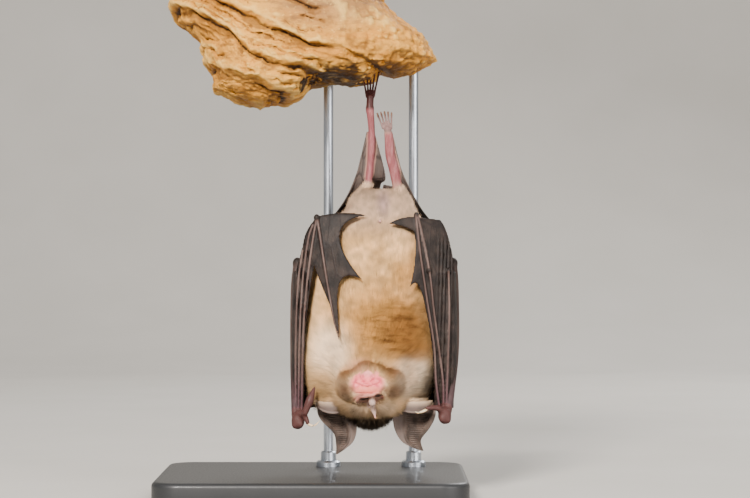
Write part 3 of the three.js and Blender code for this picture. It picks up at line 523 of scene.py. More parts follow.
# ---- ears ---------------------------------------------------------------------------------------
EARS = {
    "left": {
        "outer": [(31.4, -17.8), (27.5, -18.0), (24.6, -16.7), (20.6, -12.9), (17.0, -12.1), (13.7, -12.1)],
        "inner": [(31.4, -7.4), (27.5, -6.6), (22.0, -5.6), (18.0, -6.6), (15.6, -9.0), (13.7, -11.7)],
        "lobe": (-18.8, -7.0, 31.4, 27.1),
    },
    "right": {
        "outer": [(31.0, 18.6), (27.5, 19.6), (25.0, 19.2), (22.0, 17.6), (18.3, 15.0), (14.8, 15.8)],
        "inner": [(31.0, 6.9), (27.0, 6.1), (22.0, 6.6), (18.0, 8.8), (15.9, 12.2), (14.8, 15.5)],
        "lobe": (18.6, 6.6, 31.2, 27.3),
    },
}
RIDGE = 0.62  # from one of the ear's cross ridges to the next
EAR_ACROSS = 28  # faces from the outer to the inner edge of an ear


def ear(edges):
    """A hollow leaf that opens towards the face, ridged across, with a fold down its inner part."""
    outer, inner = np.array(edges["outer"]), np.array(edges["inner"])
    top, tip = outer[0, 0], outer[-1, 0]

    def at(u, v):
        z = top + (tip - top) * v
        out, = smooth_table([(-a, b) for a, b in outer], -z)
        into, = smooth_table([(-a, b) for a, b in inner], -z)
        across = 2 * u - 1
        y = -1.2 + 4.6 * (1 - v) ** 0.8 * (1 - across**2) + 2.0 * v * v
        ribbed = step(u, 0.06, 0.2) * (1 - step(u, 0.6, 0.72))
        ribbed = ribbed * step(v, 0.05, 0.25) * (1 - step(v, 0.86, 0.97))
        y = y + 0.13 * ribbed * np.sin(2 * np.pi * (z + 0.5 * u) / RIDGE)
        y = y - 0.75 * np.exp(-(((u - 0.7) / 0.07) ** 2)) * step(v, 0.05, 0.3) * (1 - step(v, 0.9, 1.0))
        y = y - 0.5 * np.exp(-((u / 0.06) ** 2)) * (1 - v)
        return np.stack([out + (into - out) * u, y, z], -1)

    return sheet(at, EAR_ACROSS, 116, lambda u, v: 0.5 - 0.2 * v - 0.14 * np.abs(2 * u - 1) ** 6)


def ear_lobe(start, end, top, low):
    """The lobe in front of an ear's opening, with a thick rim."""

    def at(u, v):
        across = 2 * u - 1
        hang = np.sqrt(np.maximum(1 - across**2, 0.015))
        z = top - (top - low) * v * hang
        rim = np.exp(-(((v - 0.97) / 0.07) ** 2))
        y = -6.9 + 3.4 * across**2 + 0.8 * v - 0.25 * rim - 0.5 * np.sin(np.pi * v)
        return np.stack([start + (end - start) * u, y, z], -1)

    return sheet(at, 36, 18, lambda u, v: 0.34 + 0.3 * np.exp(-(((v - 0.95) / 0.08) ** 2)))


# ---- wings --------------------------------------------------------------------------------------


def wing_depth(x, z):
    """Depth of the round surface that the folded wings lie on."""
    front = smooth_table(TRUNK, np.clip(z, 30.6, 98.8))[2] + 1.2
    return -front * np.sqrt(1 - np.minimum(np.abs(x) / WING_SPREAD, 0.96) ** 2)


def on_wing(points, lift):
    x, z = np.array(points, float).T
    return np.stack([x, wing_depth(x, z) - lift, z], 1)


def curve(start, *turns, count=14):
    """Places along a chain of lines and curves; each turn is its control points and its end."""
    places, here = [np.array([start], float)], np.array(start, float)
    t = np.linspace(0, 1, count + 1)[1:, None]
    for turn in turns:
        knots = [here, *(np.array(p, float) for p in turn)]
        while len(knots) > 1:
            knots = [a + (b - a) * t for a, b in zip(knots, knots[1:])]
        places.append(knots[0] * np.ones_like(t))
        here = np.array(turn[-1], float)
    return np.vstack(places)


OUTLINES = {
    -1: curve((-18.2, 89.8), [(-9, 91.9), (-2.1, 90.0)], [(-14, 88.6), (-13, 80.5), (-3.5, 69.6)],
              [(-13.5, 75), (-11.6, 63.5), (-10.7, 50.6)], [(-14, 61.8)], [(-16.6, 67.5), (-18.9, 73.9)],
              [(-21.6, 60), (-22, 44)], [(-22.2, 27.6)], [(-25.2, 27.6)], [(-26.6, 52), (-25.2, 71)],
              [(-22.6, 80.4)], [(-22.2, 85), (-19.3, 88.2)]),
    1: curve((12.9, 89.6), [(21, 88.7)], [(23.6, 86), (25.1, 76.5)], [(26.4, 56), (24.4, 29)],
             [(19.2, 28.6)], [(19.2, 48), (16.2, 60.5)], [(15.2, 66), (13.7, 68.3)],
             [(12.2, 69.6), (10.6, 65.6)], [(13.8, 74.6), (12.7, 84.9)], [(9.4, 86.9), (4.6, 87.4)],
             [(8.4, 89.9), (12.9, 89.6)]),
}


def outline_distance(x, z, outline):
    """Distance from a closed outline in the front view, negative inside it."""
    best, inside = np.full(x.shape, 99.0), np.zeros(x.shape, bool)
    for (ax, az), (bx, bz) in zip(outline, np.roll(outline, -1, axis=0)):
        dx, dz = bx - ax, bz - az
        t = np.clip(((x - ax) * dx + (z - az) * dz) / max(dx * dx + dz * dz, 1e-9), 0, 1)
        best = np.minimum(best, np.hypot(x - ax - t * dx, z - az - t * dz))
        if az != bz:
            inside ^= ((az > z) != (bz > z)) & (x < dx * (z - az) / dz + ax)
    return np.where(inside, -best, best)


def folded_sheet(side):
    """The front skin of a folded wing: rippled along the fingers and cut to its outline."""
    outline = OUTLINES[side]
    low, high = outline.min(0), outline.max(0)

    def distance(p):
        x, z = p[:, 0, :, 0], p[:, 0, :, 2]
        edge = outline_distance(x, z, outline)
        depth = wing_depth(x, z)
        packed = step(np.abs(x), 18.5, 21.5) * (1 - step(z, 78, 86))
        ripple = 0.28 * packed * np.sin(2 * np.pi * (np.abs(x) - 0.03 * z) / 1.15)
        flat = np.stack([x, 0 * x, z], -1)
        ripple = ripple + 0.16 * (1 - packed) * rough(flat * [1, 1, 0.5], 3.0, 3, 5)
        slope = np.hypot(*np.gradient(depth, p[1, 0, 0, 0] - p[0, 0, 0, 0]))
        away = np.abs(p[..., 1] - (depth - 0.3 + ripple)[:, None, :])
        away = away / np.sqrt(1 + slope**2)[:, None, :]
        thick = 0.26 - 0.08 * step(edge, -1.0, 0)
        outside = np.repeat(edge[:, None, :], p.shape[1], 1)
        return -smooth_min(-(away - thick[:, None, :]), -outside, 0.12)

    return Shape(vec(low[0], -16, low[1]), vec(high[0], -3, high[1]), distance)


WRIST_PAD = [(-18.9, -8.6, 35.4), (-20.3, -9.6, 31.6), (-21.8, -9.8, 27.6)]


def wing(side):
    """Front skin, finger bones, forearm, wrist and thumb of one folded wing."""
    arm, outline = ARMS[side], OUTLINES[side]
    low, high = outline.min(0), outline.max(0)
    reach = side * 27.5
    block = Block((min(low[0], reach) - 1, -17, 20.5), (max(high[0], reach) + 1, 4, 93), 0.3)
    block.blend(folded_sheet(side), 0.1)
    for number, points in enumerate(arm["fingers"]):
        thin = number == 1 and side < 0
        sizes = [0.46, 0.4, 0.34, 0.2] if thin else [0.5, 0.42, 0.38, 0.38, 0.4]
        block.blend(tube(on_wing(points, 0.95), sizes, 30), 0.35)
    for x, z, size in arm["knobs"]:
        block.blend(ellipsoid(on_wing([(x, z)], 0.95)[0], (size, size, size * 1.15)), 0.3)
    block.blend(tube(arm["forearm"], [1.35, 1.25, 1.05, 1.15], 24), 0.4)
    block.blend(ellipsoid(vec(*arm["forearm"][0]) + [0, 0, 0.4], (1.5, 1.5, 1.7)), 0.5)
    edge = np.array([(side * 25.1, z) for z in np.linspace(29, 72, 44)])
    fore = spline(arm["forearm"], 44)[::-1]
    front = on_wing(edge, 0.2)
    fore = np.stack([np.interp(front[:, 2], fore[:, 2], fore[:, k]) for k in range(3)], 1)
    fore, front = spline(fore, 260), spline(front, 260)
    t = np.linspace(0, 1, 24)[:, None, None]
    web = front + (fore - front) * t + side * np.array([0.5, 0, 0]) * np.sin(np.pi * t)
    block.blend_sheet(web.reshape(-1, 3), 0.24, 0.4)
    wrist = vec(*arm["wrist"])
    block.blend(ellipsoid(wrist, (2.1, 1.9, 2.7)), 0.8)
    block.blend(ellipsoid(wrist + [-side * 0.7, -1.2, -0.9], (1.1, 0.9, 1.2)), 0.5)
    block.blend(ellipsoid(wrist + [side * 0.9, -0.6, -1.3], (1.0, 1.0, 1.1)), 0.5)
    block.blend(tube(arm["thumb"], [1.2, 1.0, 0.8, 0.62], 14), 0.5)
    if side < 0:
        block.blend(tube(WRIST_PAD, [0.4, 1.3, 1.0], 14), 0.4)
    return block.surface()


def flank(side):
    """The skin from a forearm round the flank to the back, in pleats."""
    fore = np.array(ARMS[side]["forearm"]) + [side * -0.2, 1.2, 0]
    back = np.array([(side * 12.5, y, z) for z, y in ((73, 12.0), (62, 12.4), (46, 11.8), (29, 8.4))])
    a, b = spline(fore, 60), spline(back, 60)
    bulge = np.array([side * 3.0, 3.2, 0])

    def at(u, v):
        k = v * 59
        first = np.stack([np.interp(k, np.arange(60), a[:, i]) for i in range(3)], -1)
        last = np.stack([np.interp(k, np.arange(60), b[:, i]) for i in range(3)], -1)
        arch = np.sin(np.pi * u)
        fold = 0.5 * np.sin(4 * np.pi * u) + 0.12 * np.sin(26 * np.pi * u + 3 * v)
        fold = fold + 0.06 * np.sin(60 * np.pi * u)
        return first + (last - first) * u[..., None] + bulge * (arch * (1 + fold * 0.22))[..., None]

    return sheet(at, 84, 30, lambda u, v: 0.46 + 0 * u)


# ---- legs ---------------------------------------------------------------------------------------
# A leg's five toes spread evenly from the first to the last root and tip; bow lifts the middle ones.
LEGS = {
    "left": {
        "shank": [(-1.9, 1.3, 99.6), (-1.0, 0.9, 108), (-0.7, 0.4, 116), (-1.3, 0.2, 124.4)],
        "radii": [1.25, 0.85, 1.1, 1.05, 1.25],
        "ankle": (-1.4, 0.2, 123.6), "sole": (-1.2, 0.6, 128),
        "roots": ((-2.3, 0.8, 128.2), (-0.1, 0.8, 128.2)),
        "tips": ((-3.6, 2.4, 135.2), (1.5, 2.4, 135.6)),
        "bow": (0.3, 0.6), "hook": (0, -2.6, 0.4),
    },
    "right": {
        "shank": [(7.8, -0.4, 97.6), (6.4, -1.2, 104.6), (5.1, -2.2, 109.6), (4.7, -2.9, 115.8)],
        "radii": [1.5, 1.6, 1.5, 1.35],
        "ankle": (4.7, -2.9, 115.2), "sole": (4.3, -3.4, 117.6),
        "roots": ((2.9, -3.5, 117.9), (5.5, -3.5, 117.9)),
        "tips": ((1.1, -3.4, 122.4), (5.6, -3.4, 122.6)),
        "bow": (0.3, 0.4), "hook": (0, -2.0, 0.1),
    },
}
# Skin from the elbow past the hip to the ankle, and from the legs to the tail: two edges and a bulge each.
LEG_WEBS = [
    ([(-23.6, 3.2, 77), (-16.6, 5.6, 85.5), (-9.6, 4.6, 94.6), (-5.8, 2.4, 102.7), (-3.9, 1.6, 109.4),
      (-1.6, 0.7, 116.8)],
     [(-15.5, 10.5, 76), (-11.6, 10.5, 84), (-6, 8.4, 94), (-1.0, 1.4, 102.7), (-0.9, 0.9, 109),
      (-0.8, 0.5, 116.8)],
     (-0.8, 0.8, 0)),
    ([(24.4, 3.2, 77), (20.4, 5.4, 85.5), (14.9, 4.2, 92.6), (9.4, 0.4, 102.7), (7.1, -1.2, 109.4),
      (5.4, -2.4, 115)],
     [(15.5, 10.5, 76), (13.6, 10.5, 84), (10, 7, 94), (6.4, -0.8, 103), (5.2, -1.8, 109),
      (4.8, -2.5, 115)],
     (0.8, 0.8, 0)),
    ([(-0.7, 0.6, 116.6), (-1.0, 1.2, 104), (-3.0, 6.4, 99.4), (-7.4, 10.8, 92), (-6.8, 12.6, 80)],
     [(0.2, 1.0, 116), (3.5, 3.2, 103), (2.0, 7.2, 100.2), (0.9, 12.9, 93), (0.3, 14.7, 73)],
     (0, 0.5, 0.2)),
    ([(8.8, 5.2, 98.6), (9.4, 9.2, 93.6), (8.6, 11.8, 86), (6.4, 12.8, 79)],
     [(3.2, 7.2, 100), (2.0, 12.7, 94), (1.0, 14.1, 85), (0.5, 14.7, 74)],
     (0, 0.5, 0.2)),
]


def toes(leg):
    """The path of each toe of a foot, from its root over its tip to the claw's end."""
    paths, claw = [], vec(*leg["hook"])
    for k in range(5):
        ends = []
        for key, bow in zip(("roots", "tips"), leg["bow"]):
            first, last = vec(*leg[key][0]), vec(*leg[key][1])
            ends.append(first + (last - first) * k / 4 + [0, 0, bow * math.sin(math.pi * k / 4)])
        root, tip = ends
        paths.append([root, root + 0.6 * (tip - root) + [0, 0.25, 0], tip, tip + 0.55 * claw,
                      tip + claw + [0, 0, -1.4]])
    return paths


def legs():
    """Shanks, feet and tail with the skin that joins them."""
    block = Block((-26, -8, 70), (27, 17, 138), 0.26)
    for leg in LEGS.values():
        block.blend(tube(leg["shank"], leg["radii"], 20), 0.4)
        middle = (vec(*leg["ankle"]) + vec(*leg["sole"])) / 2
        block.blend(tube([leg["ankle"], middle, leg["sole"]], [1.1, 1.15, 1.15]), 0.5)
        for path in toes(leg):
            block.blend(tube(path[:4], [0.42, 0.3, 0.34, 0.32, 0.28], 12), 0.06)
    block.blend(tube(TAIL, [1.0, 0.9, 0.75, 0.55, 0.35], 24), 0.4)
    for edge_a, edge_b, bulge in LEG_WEBS:
        a, b = spline(edge_a, 300), spline(edge_b, 300)
        u = np.linspace(0, 1, 56)[:, None, None]
        arch = np.sin(np.pi * u)
        fold = 0.25 * np.sin(2 * np.pi * u) + 0.14 * np.sin(9 * np.pi * u)
        points = a + (b - a) * u + np.array(bulge) * arch * (1 + fold)
        block.blend_sheet(points.reshape(-1, 3), 0.25, 0.3)
    return block.surface()


# ---- one skin -----------------------------------------------------------------------------------


def triangles(faces):
    return np.concatenate([
        f if f.shape[1] == 3 else np.concatenate([f[:, :3], f[:, [0, 2, 3]]]) for f in faces
    ])


def thinned(points, faces, ratio):
    """The same surface with fewer faces where it is flat."""
    thing = mesh_of("rough_form", points, [triangles([faces])])
    apply_modifier(thing, "DECIMATE", ratio=ratio)
    kept = points_of(thing)
    corners = np.empty(3 * len(thing.data.polygons), np.int32)
    thing.data.polygons.foreach_get("vertices", corners)
    bpy.data.objects.remove(thing)
    return kept, corners.reshape(-1, 3)


def near_tubes(points, tubes, reach):
    """1 on the limbs given as tubes, falling to 0 a reach away from their surface."""
    best = np.full(len(points), FAR)
    for shape in tubes:
        best = np.minimum(best, shape.distance(points))
    return 1 - step(best, 0.05, reach)


def skin_regions():
    """Each part of the skin with masks: wing skin, bone line, pink flesh, ear and the ear's inner strip."""
    made = []

    def add(part, wing=0.0, bone=0.0, pink=0.0, ear=0.0, inner=0.0):
        count = len(part[0])
        masks = {"wing": wing, "bone": bone, "pink": pink, "ear": ear, "inner": inner}
        made.append((part, {key: np.ones(count) * value for key, value in masks.items()}))

    part = thinned(*BODY, 0.5)
    add(part, pink=1 - step(away_from(part[0], NIPPLE), 1.2, 1.8))
    part = thinned(*HEAD_SKIN, 0.62)
    chin = within(part[0], [-2.1, -15.2, 37.6], [5.6, 5.0, 4.6])
    leaf = within(part[0], [-1.2, -13.0, 30.6], [5.6, 6.0, 4.9])
    add(part, pink=1 - step(np.minimum(chin, leaf), 0.68, 1.2))
    for edges in EARS.values():
        part = ear(edges)
        across = np.tile(np.linspace(0, 1, EAR_ACROSS + 1), len(part[0]) // (EAR_ACROSS + 1))
        add(part, ear=1, inner=step(across, 0.7, 0.8))
        add(ear_lobe(*edges["lobe"]), ear=1)
    for side, arm in ARMS.items():
        part = thinned(*wing(side), 0.34)
        lines = [tube(on_wing(points, 1.3), [0.14], 30) for points in arm["fingers"]]
        hand = [tube(arm["forearm"], [1.2], 20), ellipsoid(arm["wrist"], (2.3, 2.1, 2.9)),
                tube(arm["thumb"], [0.9], 10)]
        bone = np.maximum(near_tubes(part[0], lines, 0.3), 0.5 * near_tubes(part[0], hand, 0.5))
        wrist, thumb = hand[1:], hand[2:]
        if side < 0:
            thumb = thumb + [tube(WRIST_PAD, [0.4, 1.3, 1.0], 12)]
        pink = np.maximum(0.3 * near_tubes(part[0], wrist, 1.2), 0.8 * near_tubes(part[0], thumb, 0.3))
        add(part, wing=1, bone=bone, pink=pink)
        add(flank(side), wing=1)
    part = thinned(*legs(), 0.3)
    x, y, z = part[0].T
    shanks = [tube(leg["shank"], leg["radii"]) for leg in LEGS.values()]
    flesh = near_tubes(part[0], shanks, 0.9) * step(z, 96, 102)
    foot = step(z, 115.5, 119) * (x > 0.9) * (y < -1.2)
    flesh = np.maximum(flesh, np.maximum(foot, step(z, 116.5, 118)))
    add(part, wing=1 - flesh, bone=0.85 * foot, pink=flesh * (1 - 0.75 * foot))
    return made


def skin():
    made = skin_regions()
    points, faces = join_up([part for part, _ in made])
    masks = {key: np.concatenate([m[key] for _, m in made]) for key in made[0][1]}
    thing = mesh_of("skin", put(points), [triangles(faces)], masks)
    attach(thing, "root")
    flesh = [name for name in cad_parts
             if not name.startswith(("eye_", "thumb_claw", "stand_", "perch_"))]
    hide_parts(*flesh)
    return thing


# ---- coat ---------------------------------------------------------------------------------------


def scatter(points, faces, weight, count, chance):
    """Random places on a surface with their normals, more where the weight is larger."""
    tri = triangles([faces])
    corner = points[tri]
    cross = np.cross(corner[:, 1] - corner[:, 0], corner[:, 2] - corner[:, 0])
    vertex = np.stack([
        np.bincount(tri.ravel(), np.repeat(cross[:, k], 3), minlength=len(points)) for k in range(3)
    ], 1)
    share = np.linalg.norm(cross, axis=1) * weight(corner.mean(1))
    pick = chance.choice(len(tri), count, p=share / share.sum())
    a, b = chance.random((2, count))
    over = a + b > 1
    a, b = np.where(over, 1 - a, a), np.where(over, 1 - b, b)
    mix = np.stack([1 - a - b, a, b], 1)[..., None]
    return (corner[pick] * mix).sum(1), unit((vertex[tri[pick]] * mix).sum(1))


def lie_of_coat(place, normal):
    """The way the fur lies: away from the nose over the head and throat, then towards the tail."""
    away = place - NOSE
    near = 1 - step(np.linalg.norm(away, axis=1), 11, 27)[:, None]
    flow = unit(away) * near + np.array([0, 0.12, 1.0]) * (1 - near)
    swirl = np.stack([noise(place, 9.0, seed) for seed in (3, 4, 5)], 1)
    flow = flow + 0.35 * swirl
    flow = flow - normal * (flow * normal).sum(1, keepdims=True)
    return unit(flow)


def coat(name, source, weight, count, length, depth, unwrap, width=TUFT_WIDTH):
    """One piece of the coat: tufts over part of the skin, drawn together in locks at their tips.

    source holds the skin's points and faces; weight says how thick the tufts stand at a place, length
    how long they are and depth how far their tips stand off; unwrap turns a place into a UV.
    """
    chance = np.random.default_rng(SEED + sum(map(ord, name)))
    count = count
    width = width
    root, normal = scatter(*source, weight, count, chance)
    seeds, seed_normal = scatter(*source, weight, count // LOCK, chance)
    flow, seed_flow = lie_of_coat(root, normal), lie_of_coat(seeds, seed_normal)
    tree = KDTree(len(seeds))
    for k, place in enumerate(seeds + 0.5 * seed_flow):
        tree.insert(place, k)
    tree.balance()
    lock = np.array([tree.find(place)[1] for place in root])
    reach, high = length(root), depth(root)
    layer = 0.6 + 0.4 * chance.random(count) ** 0.7
    seed_layer = 0.75 + 0.25 * chance.random(len(seeds))
    long = reach * (0.75 + 0.4 * chance.random(count))
    tip = root + flow * long[:, None] + normal * (high * layer)[:, None]
    lock_tip = seeds[lock] + seed_flow[lock] * (reach * 0.95)[:, None]
    lock_tip = lock_tip + seed_normal[lock] * (high * seed_layer[lock])[:, None]
    pull = (0.2 + 0.4 * chance.random(count))[:, None]
    stray = chance.random(count)[:, None] < STRAY
    pull = np.where(stray, 0.05, pull)
    tip = tip + (lock_tip - tip) * pull
    tip = tip + chance.normal(0, 0.16, (count, 3)) + np.where(stray, normal * 0.35 * high[:, None], 0)
    across = unit(np.cross(flow, normal))
    base = root - normal * 0.25
    size = width * (0.75 + 0.5 * chance.random(count))[:, None]
    ring = [base + across * (0.5 * s * size) + normal * (n * size)
            for s, n in ((-1, 0.0), (1, 0.0), (0, 0.8))]
    points = np.stack([*ring, tip], 1).reshape(-1, 3)
    sides = [[0, 1, 3], [1, 2, 3], [2, 0, 3], [0, 2, 1]]
    faces = (np.array(sides)[None] + 4 * np.arange(count)[:, None, None]).reshape(-1, 3)
    along = np.tile([0, 0, 0, 1.0], count)
    tone = 0.5 + 0.34 * noise(seeds[lock], 1.1, 8) + 0.2 * noise(root, 2.6, 9)
    tone = tone + 0.2 * (chance.random(count) - 0.5)
    tone = np.repeat(tone, 4)
    patch = UV_PATCH * (np.array([[0, 0], [1, 0], [0.5, 0.2], [0.5, 1]]) - 0.5)
    uv = np.clip((unwrap(root)[:, None] + patch[None]).reshape(-1, 2), 0, 1)
    thing = mesh_of(name, put(points), [faces], {"along": along, "tone": tone}, uv)
    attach(thing, "root")
    return thing


def around_trunk(place):
    """The trunk's skin unrolled: the way round it, and up it."""
    turn = np.arctan2(place[:, 0] + 1, -place[:, 1]) / (2 * np.pi) + 0.5
    return np.stack([0.02 + 0.96 * turn, 0.02 + 0.96 * (place[:, 2] - 28) / 76], 1)


def around_head(place):
    """The head's skin unrolled: the way round its axis, and back from the nose."""
    turn = np.arctan2(place[:, 0] - FACE_X, place[:, 2] - 33) / (2 * np.pi) + 0.5
    return np.stack([0.02 + 0.96 * turn, 0.02 + 0.96 * (place[:, 1] + 18) / 32], 1)


def face_bareness(p):
    """1 on the bare lips, chin and noseleaf, 0 in the fur round them."""
    lips = within(p, [-2.0, -16.0, 35.9], [5.4, 5.4, 4.2])
    leaf = within(p, [-1.4, -15.0, 31.9], [4.6, 4.6, 2.7])
    lancet = within(p, [-0.8, -11.5, 28.4], [1.8, 5.0, 3.4])
    return 1 - step(np.minimum(lips, np.minimum(leaf, lancet)), 0.85, 1.2)


def coats():
    """The whole coat, in pieces by place."""
    hidden = -0.6  # skin that lies deeper than this in another part of the body has no coat

    def aside(p):
        return np.abs(p[:, 0] - MIDDLE_X)

    def band(low, high, front):
        def weight(p):
            face = p[:, 1] < 0.5 if front else p[:, 1] >= 0.5
            in_head = head_distance(p) < hidden
            under_wing = step(aside(p), 18.6, 19.4) * step(p[:, 2], 50, 56)
            bare = away_from(p, NIPPLE) < 1.2
            between = face * (p[:, 2] >= low) * (p[:, 2] < high)
            return between * ~in_head * (1 - under_wing) * ~bare + 1e-9
        return weight

    def long(p):
        return np.interp(p[:, 2], [30, 42, 60, 85, 93, 98], [4.2, 4.4, 3.6, 3.0, 2.6, 1.8])

    def deep(p):
        beside = step(aside(p), 9, 14) * (1 - step(p[:, 2], 44, 56)) * (p[:, 1] < 4)
        return coat_depth(p[:, 2]) + 2.3 * beside

    made = []
    for name, low, high, front, count in (
        ("coat_pelvis", 84, 103, True, 44000), ("coat_belly", 69, 84, True, 48000),
        ("coat_chest", 53, 69, True, 49000), ("coat_throat", 28, 53, True, 49500),
        ("coat_rump", 78, 103, False, 42000), ("coat_back", 55, 78, False, 42000),
        ("coat_shoulders", 28, 55, False, 42000),
    ):
        made.append(coat(name, BODY, band(low, high, front), count, long, deep, around_trunk))

    def on_lobes(p):
        return step(p[:, 2], 30.6, 31.8) * (aside(p) < 16.5) + 1e-9

    points, faces = join_up([ear_lobe(*edges["lobe"]) for edges in EARS.values()])
    made.append(coat(
        "coat_lobes", (points, np.vstack(faces)), on_lobes, 4600,
        lambda p: np.full(len(p), 2.6), lambda p: np.full(len(p), 0.7), around_head,
    ))

    def from_eyes(p):
        return [away_from(p, eye) for eye in EYES.values()]

    def on_head(p):
        in_trunk = trunk_distance(p) < hidden
        lids = np.prod([step(away, 0.8, 1.2) for away in from_eyes(p)], axis=0)
        return ~in_trunk * (1 - face_bareness(p)) * lids * np.where(p[:, 1] < -4, 1.6, 1) + 1e-9

    def near_eyes(p):
        """The share of its length and depth that the fur has near an eye."""
        return np.clip((np.minimum(*from_eyes(p)) - 0.6) / 5.0, 0.12, 1)

    def head_long(p):
        return np.interp(away_from(p, NOSE), [4, 7, 10, 24], [1.2, 2.6, 5.4, 5.0]) * near_eyes(p)

    def head_deep(p):
        seam = 2.4 * step(np.abs(trunk_distance(p)), 3.6, 0.8)
        high = np.interp(p[:, 1], [-15.4, -13.4, -10.4, -6.4, 4, 12], [0.12, 0.35, 0.85, 1.25, 1.6, 1.4])
        return high * near_eyes(p) + seam

    made.append(coat("coat_head", HEAD_SKIN, on_head, 49000, head_long, head_deep, around_head, 0.1))
    return made


def whiskers():
    """Long fine hairs beside the muzzle and dark ones that hang from the crown."""
    chance = np.random.default_rng(SEED + 5)
    paths = []
    for side in (-1, 1):
        for _ in range(11):
            root = vec(-1.8 + side * 5.6, -14.2, 33.6) + chance.normal(0, 0.9, 3) * [0.6, 0.5, 1.6]
            out = unit(vec(side * 1.0, -0.35, -0.2) + chance.normal(0, 0.25, 3))
            long = 3.0 + 2.5 * chance.random()
            paths.append([root, root + out * long * 0.5, root + out * long + [0, 0.3, -0.7]])
    for _ in range(70):
        root = vec(-0.8 + 7.5 * (chance.random() - 0.5), -4.5 - 5.5 * chance.random(), 26.2)
        root[2] -= 2.6 * max(0.0, -(root[1] + 4.5) / -9.0)
        out = unit(vec(0.12 * root[0], -0.25, -1.0) + chance.normal(0, 0.16, 3))
        long = 2.6 + 2.2 * chance.random()
        paths.append([root, root + out * long * 0.5, root + out * long + [0, -0.2, 0]])
    hairs = [hook(path, [0.05, 0.045, 0.03, 0.008], 1.0, 6, 3) for path in paths]
    count = len(hairs[0][0])
    roots = np.repeat([path[0] for path in paths], count, axis=0)
    points, faces = join_up(hairs)
    along = np.tile(np.linspace(0, 1, count), len(paths))[:, None]
    uv = np.clip(around_head(roots) + UV_PATCH * (along - 0.5), 0, 1)
    masks = {"along": np.ones(len(points)), "tone": np.zeros(len(points))}
    thing = mesh_of("whiskers", put(points), faces, masks, uv)
    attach(thing, "root")
    return thing


# ---- eyes and claws -----------------------------------------------------------------------------


def eyeball(side):
    bpy.ops.object.select_all(action="DESELECT")
    centre = put(EYES[side])
    bpy.ops.mesh.primitive_uv_sphere_add(segments=32, ring_count=20, radius=EYE_RADIUS * MM, location=centre)
    thing = bpy.context.object
    thing.name = f"eyeball_{side}"
    bpy.ops.object.transform_apply(location=True)
    bpy.ops.object.shade_smooth()
    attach(thing, "root")
    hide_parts(f"eye_{side}")
    return thing


def hook(path, sizes, flat=0.7, count=18, sides=12):
    """A curved claw or hair: rings along a path, flat across it and drawn in to its end."""
    path = spline(path, count)
    ahead = unit(np.gradient(path, axis=0))
    side = np.cross(ahead, path[-1] - path[0] + 1e-3) + np.cross(ahead, path[count // 2] - path[0]) * 0.01
    side = unit(side)
    up = np.cross(side, ahead)
    size = np.interp(np.linspace(0, 1, count), np.linspace(0, 1, len(sizes)), sizes)[:, None, None]
    angle = np.linspace(0, 2 * np.pi, sides, endpoint=False)[None, :, None]
    return loft(path[:, None] + size * (np.cos(angle) * flat * side[:, None] + np.sin(angle) * up[:, None]))


def claws():
    made = []
    for word, side in (("left", -1), ("right", 1)):
        points, *faces = hook(ARMS[side]["claw"], [0.42, 0.46, 0.38, 0.24, 0.05])
        thing = mesh_of(f"thumb_horn_{word}", put(points), faces)
        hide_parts(f"thumb_claw_{word}")
        made.append(thing)
    for word, leg in LEGS.items():
        nails = []
        for *_, tip, bend, end in toes(leg):
            path = [tip + 0.3 * (bend - tip), bend, bend + 0.6 * (end - bend), end]
            nails.append(hook(path, [0.26, 0.3, 0.22, 0.04], count=12, sides=8))
        points, faces = join_up(nails)
        made.append(mesh_of(f"toe_claws_{word}", put(points), faces))
    for thing in made:
        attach(thing, "root")
    return made


# ---- perch --------------------------------------------------------------------------------------


ROCK_MIDDLE = vec(-22, 6, 148)
ROCK_DEPTH = 31  # from its middle to its front
ROCK_HOLLOW = [-13.5, -17, 130.3], [10, 20, 4.2]  # the middle and radii of the hollow beside the foot
ROCK_OUTLINE = np.array([
    (-65.6, 158.7), (-63, 151.5), (-55.4, 145), (-52.8, 137.6), (-50.9, 130.2), (-43.5, 126.8),
    (-35.8, 125.1), (-28.2, 126.4), (-23.4, 128.6), (-20.6, 132), (-14, 133.4), (-7.7, 132.6),
    (-0.6, 133.4), (2.2, 136.6), (6.7, 134.7), (13.1, 136), (19.2, 140.2), (15.7, 147.8), (9.3, 152.6),
    (3.2, 159), (-1, 166.5), (-14, 171.5), (-32, 172.5), (-50, 171), (-62, 166),
])


def rock_reach(dx, dz):
    """How far the rock's outline lies from its middle, in the direction of (dx, dz)."""
    corners = ROCK_OUTLINE - ROCK_MIDDLE[[0, 2]]
    angle = np.arctan2(corners[:, 1], corners[:, 0])
    corners, angle = corners[np.argsort(angle)], np.sort(angle)
    k = np.searchsorted(angle, np.arctan2(dz, dx), side="right")
    a, b = corners[k - 1], corners[k % len(corners)]
    side = b - a
    return np.hypot(dx, dz) * (a[:, 0] * b[:, 1] - a[:, 1] * b[:, 0]) / (dx * side[:, 1] - dz * side[:, 0])


# The heights of the three ledges at places across the rock.
LEDGE_PLACES = (-66, -54, -44, -40, -35, -27, -19, -9, 5)
LEDGES = (
    (143, 139, 135.9, 134.5, 132.7, 128.9, 132.2, 128, 126),
    (158, 152.5, 148.9, 143.4, 139.8, 137.3, 136.5, 132.6, 132),
    (165, 160, 155.6, 153.8, 151.5, 147.7, 143.7, 143.2, 143),
)


def plates(level, rise):
    """Plates that jut out over each other, from -1 to 1, and how near the gap between two is."""
    part = level - np.floor(level)
    height = np.where(part < rise, 2 * part / rise - 1, 1 - 2 * (part - rise) / (1 - rise))
    return height, np.exp(-((np.minimum(part, 1 - part) / (0.3 * rise)) ** 2))


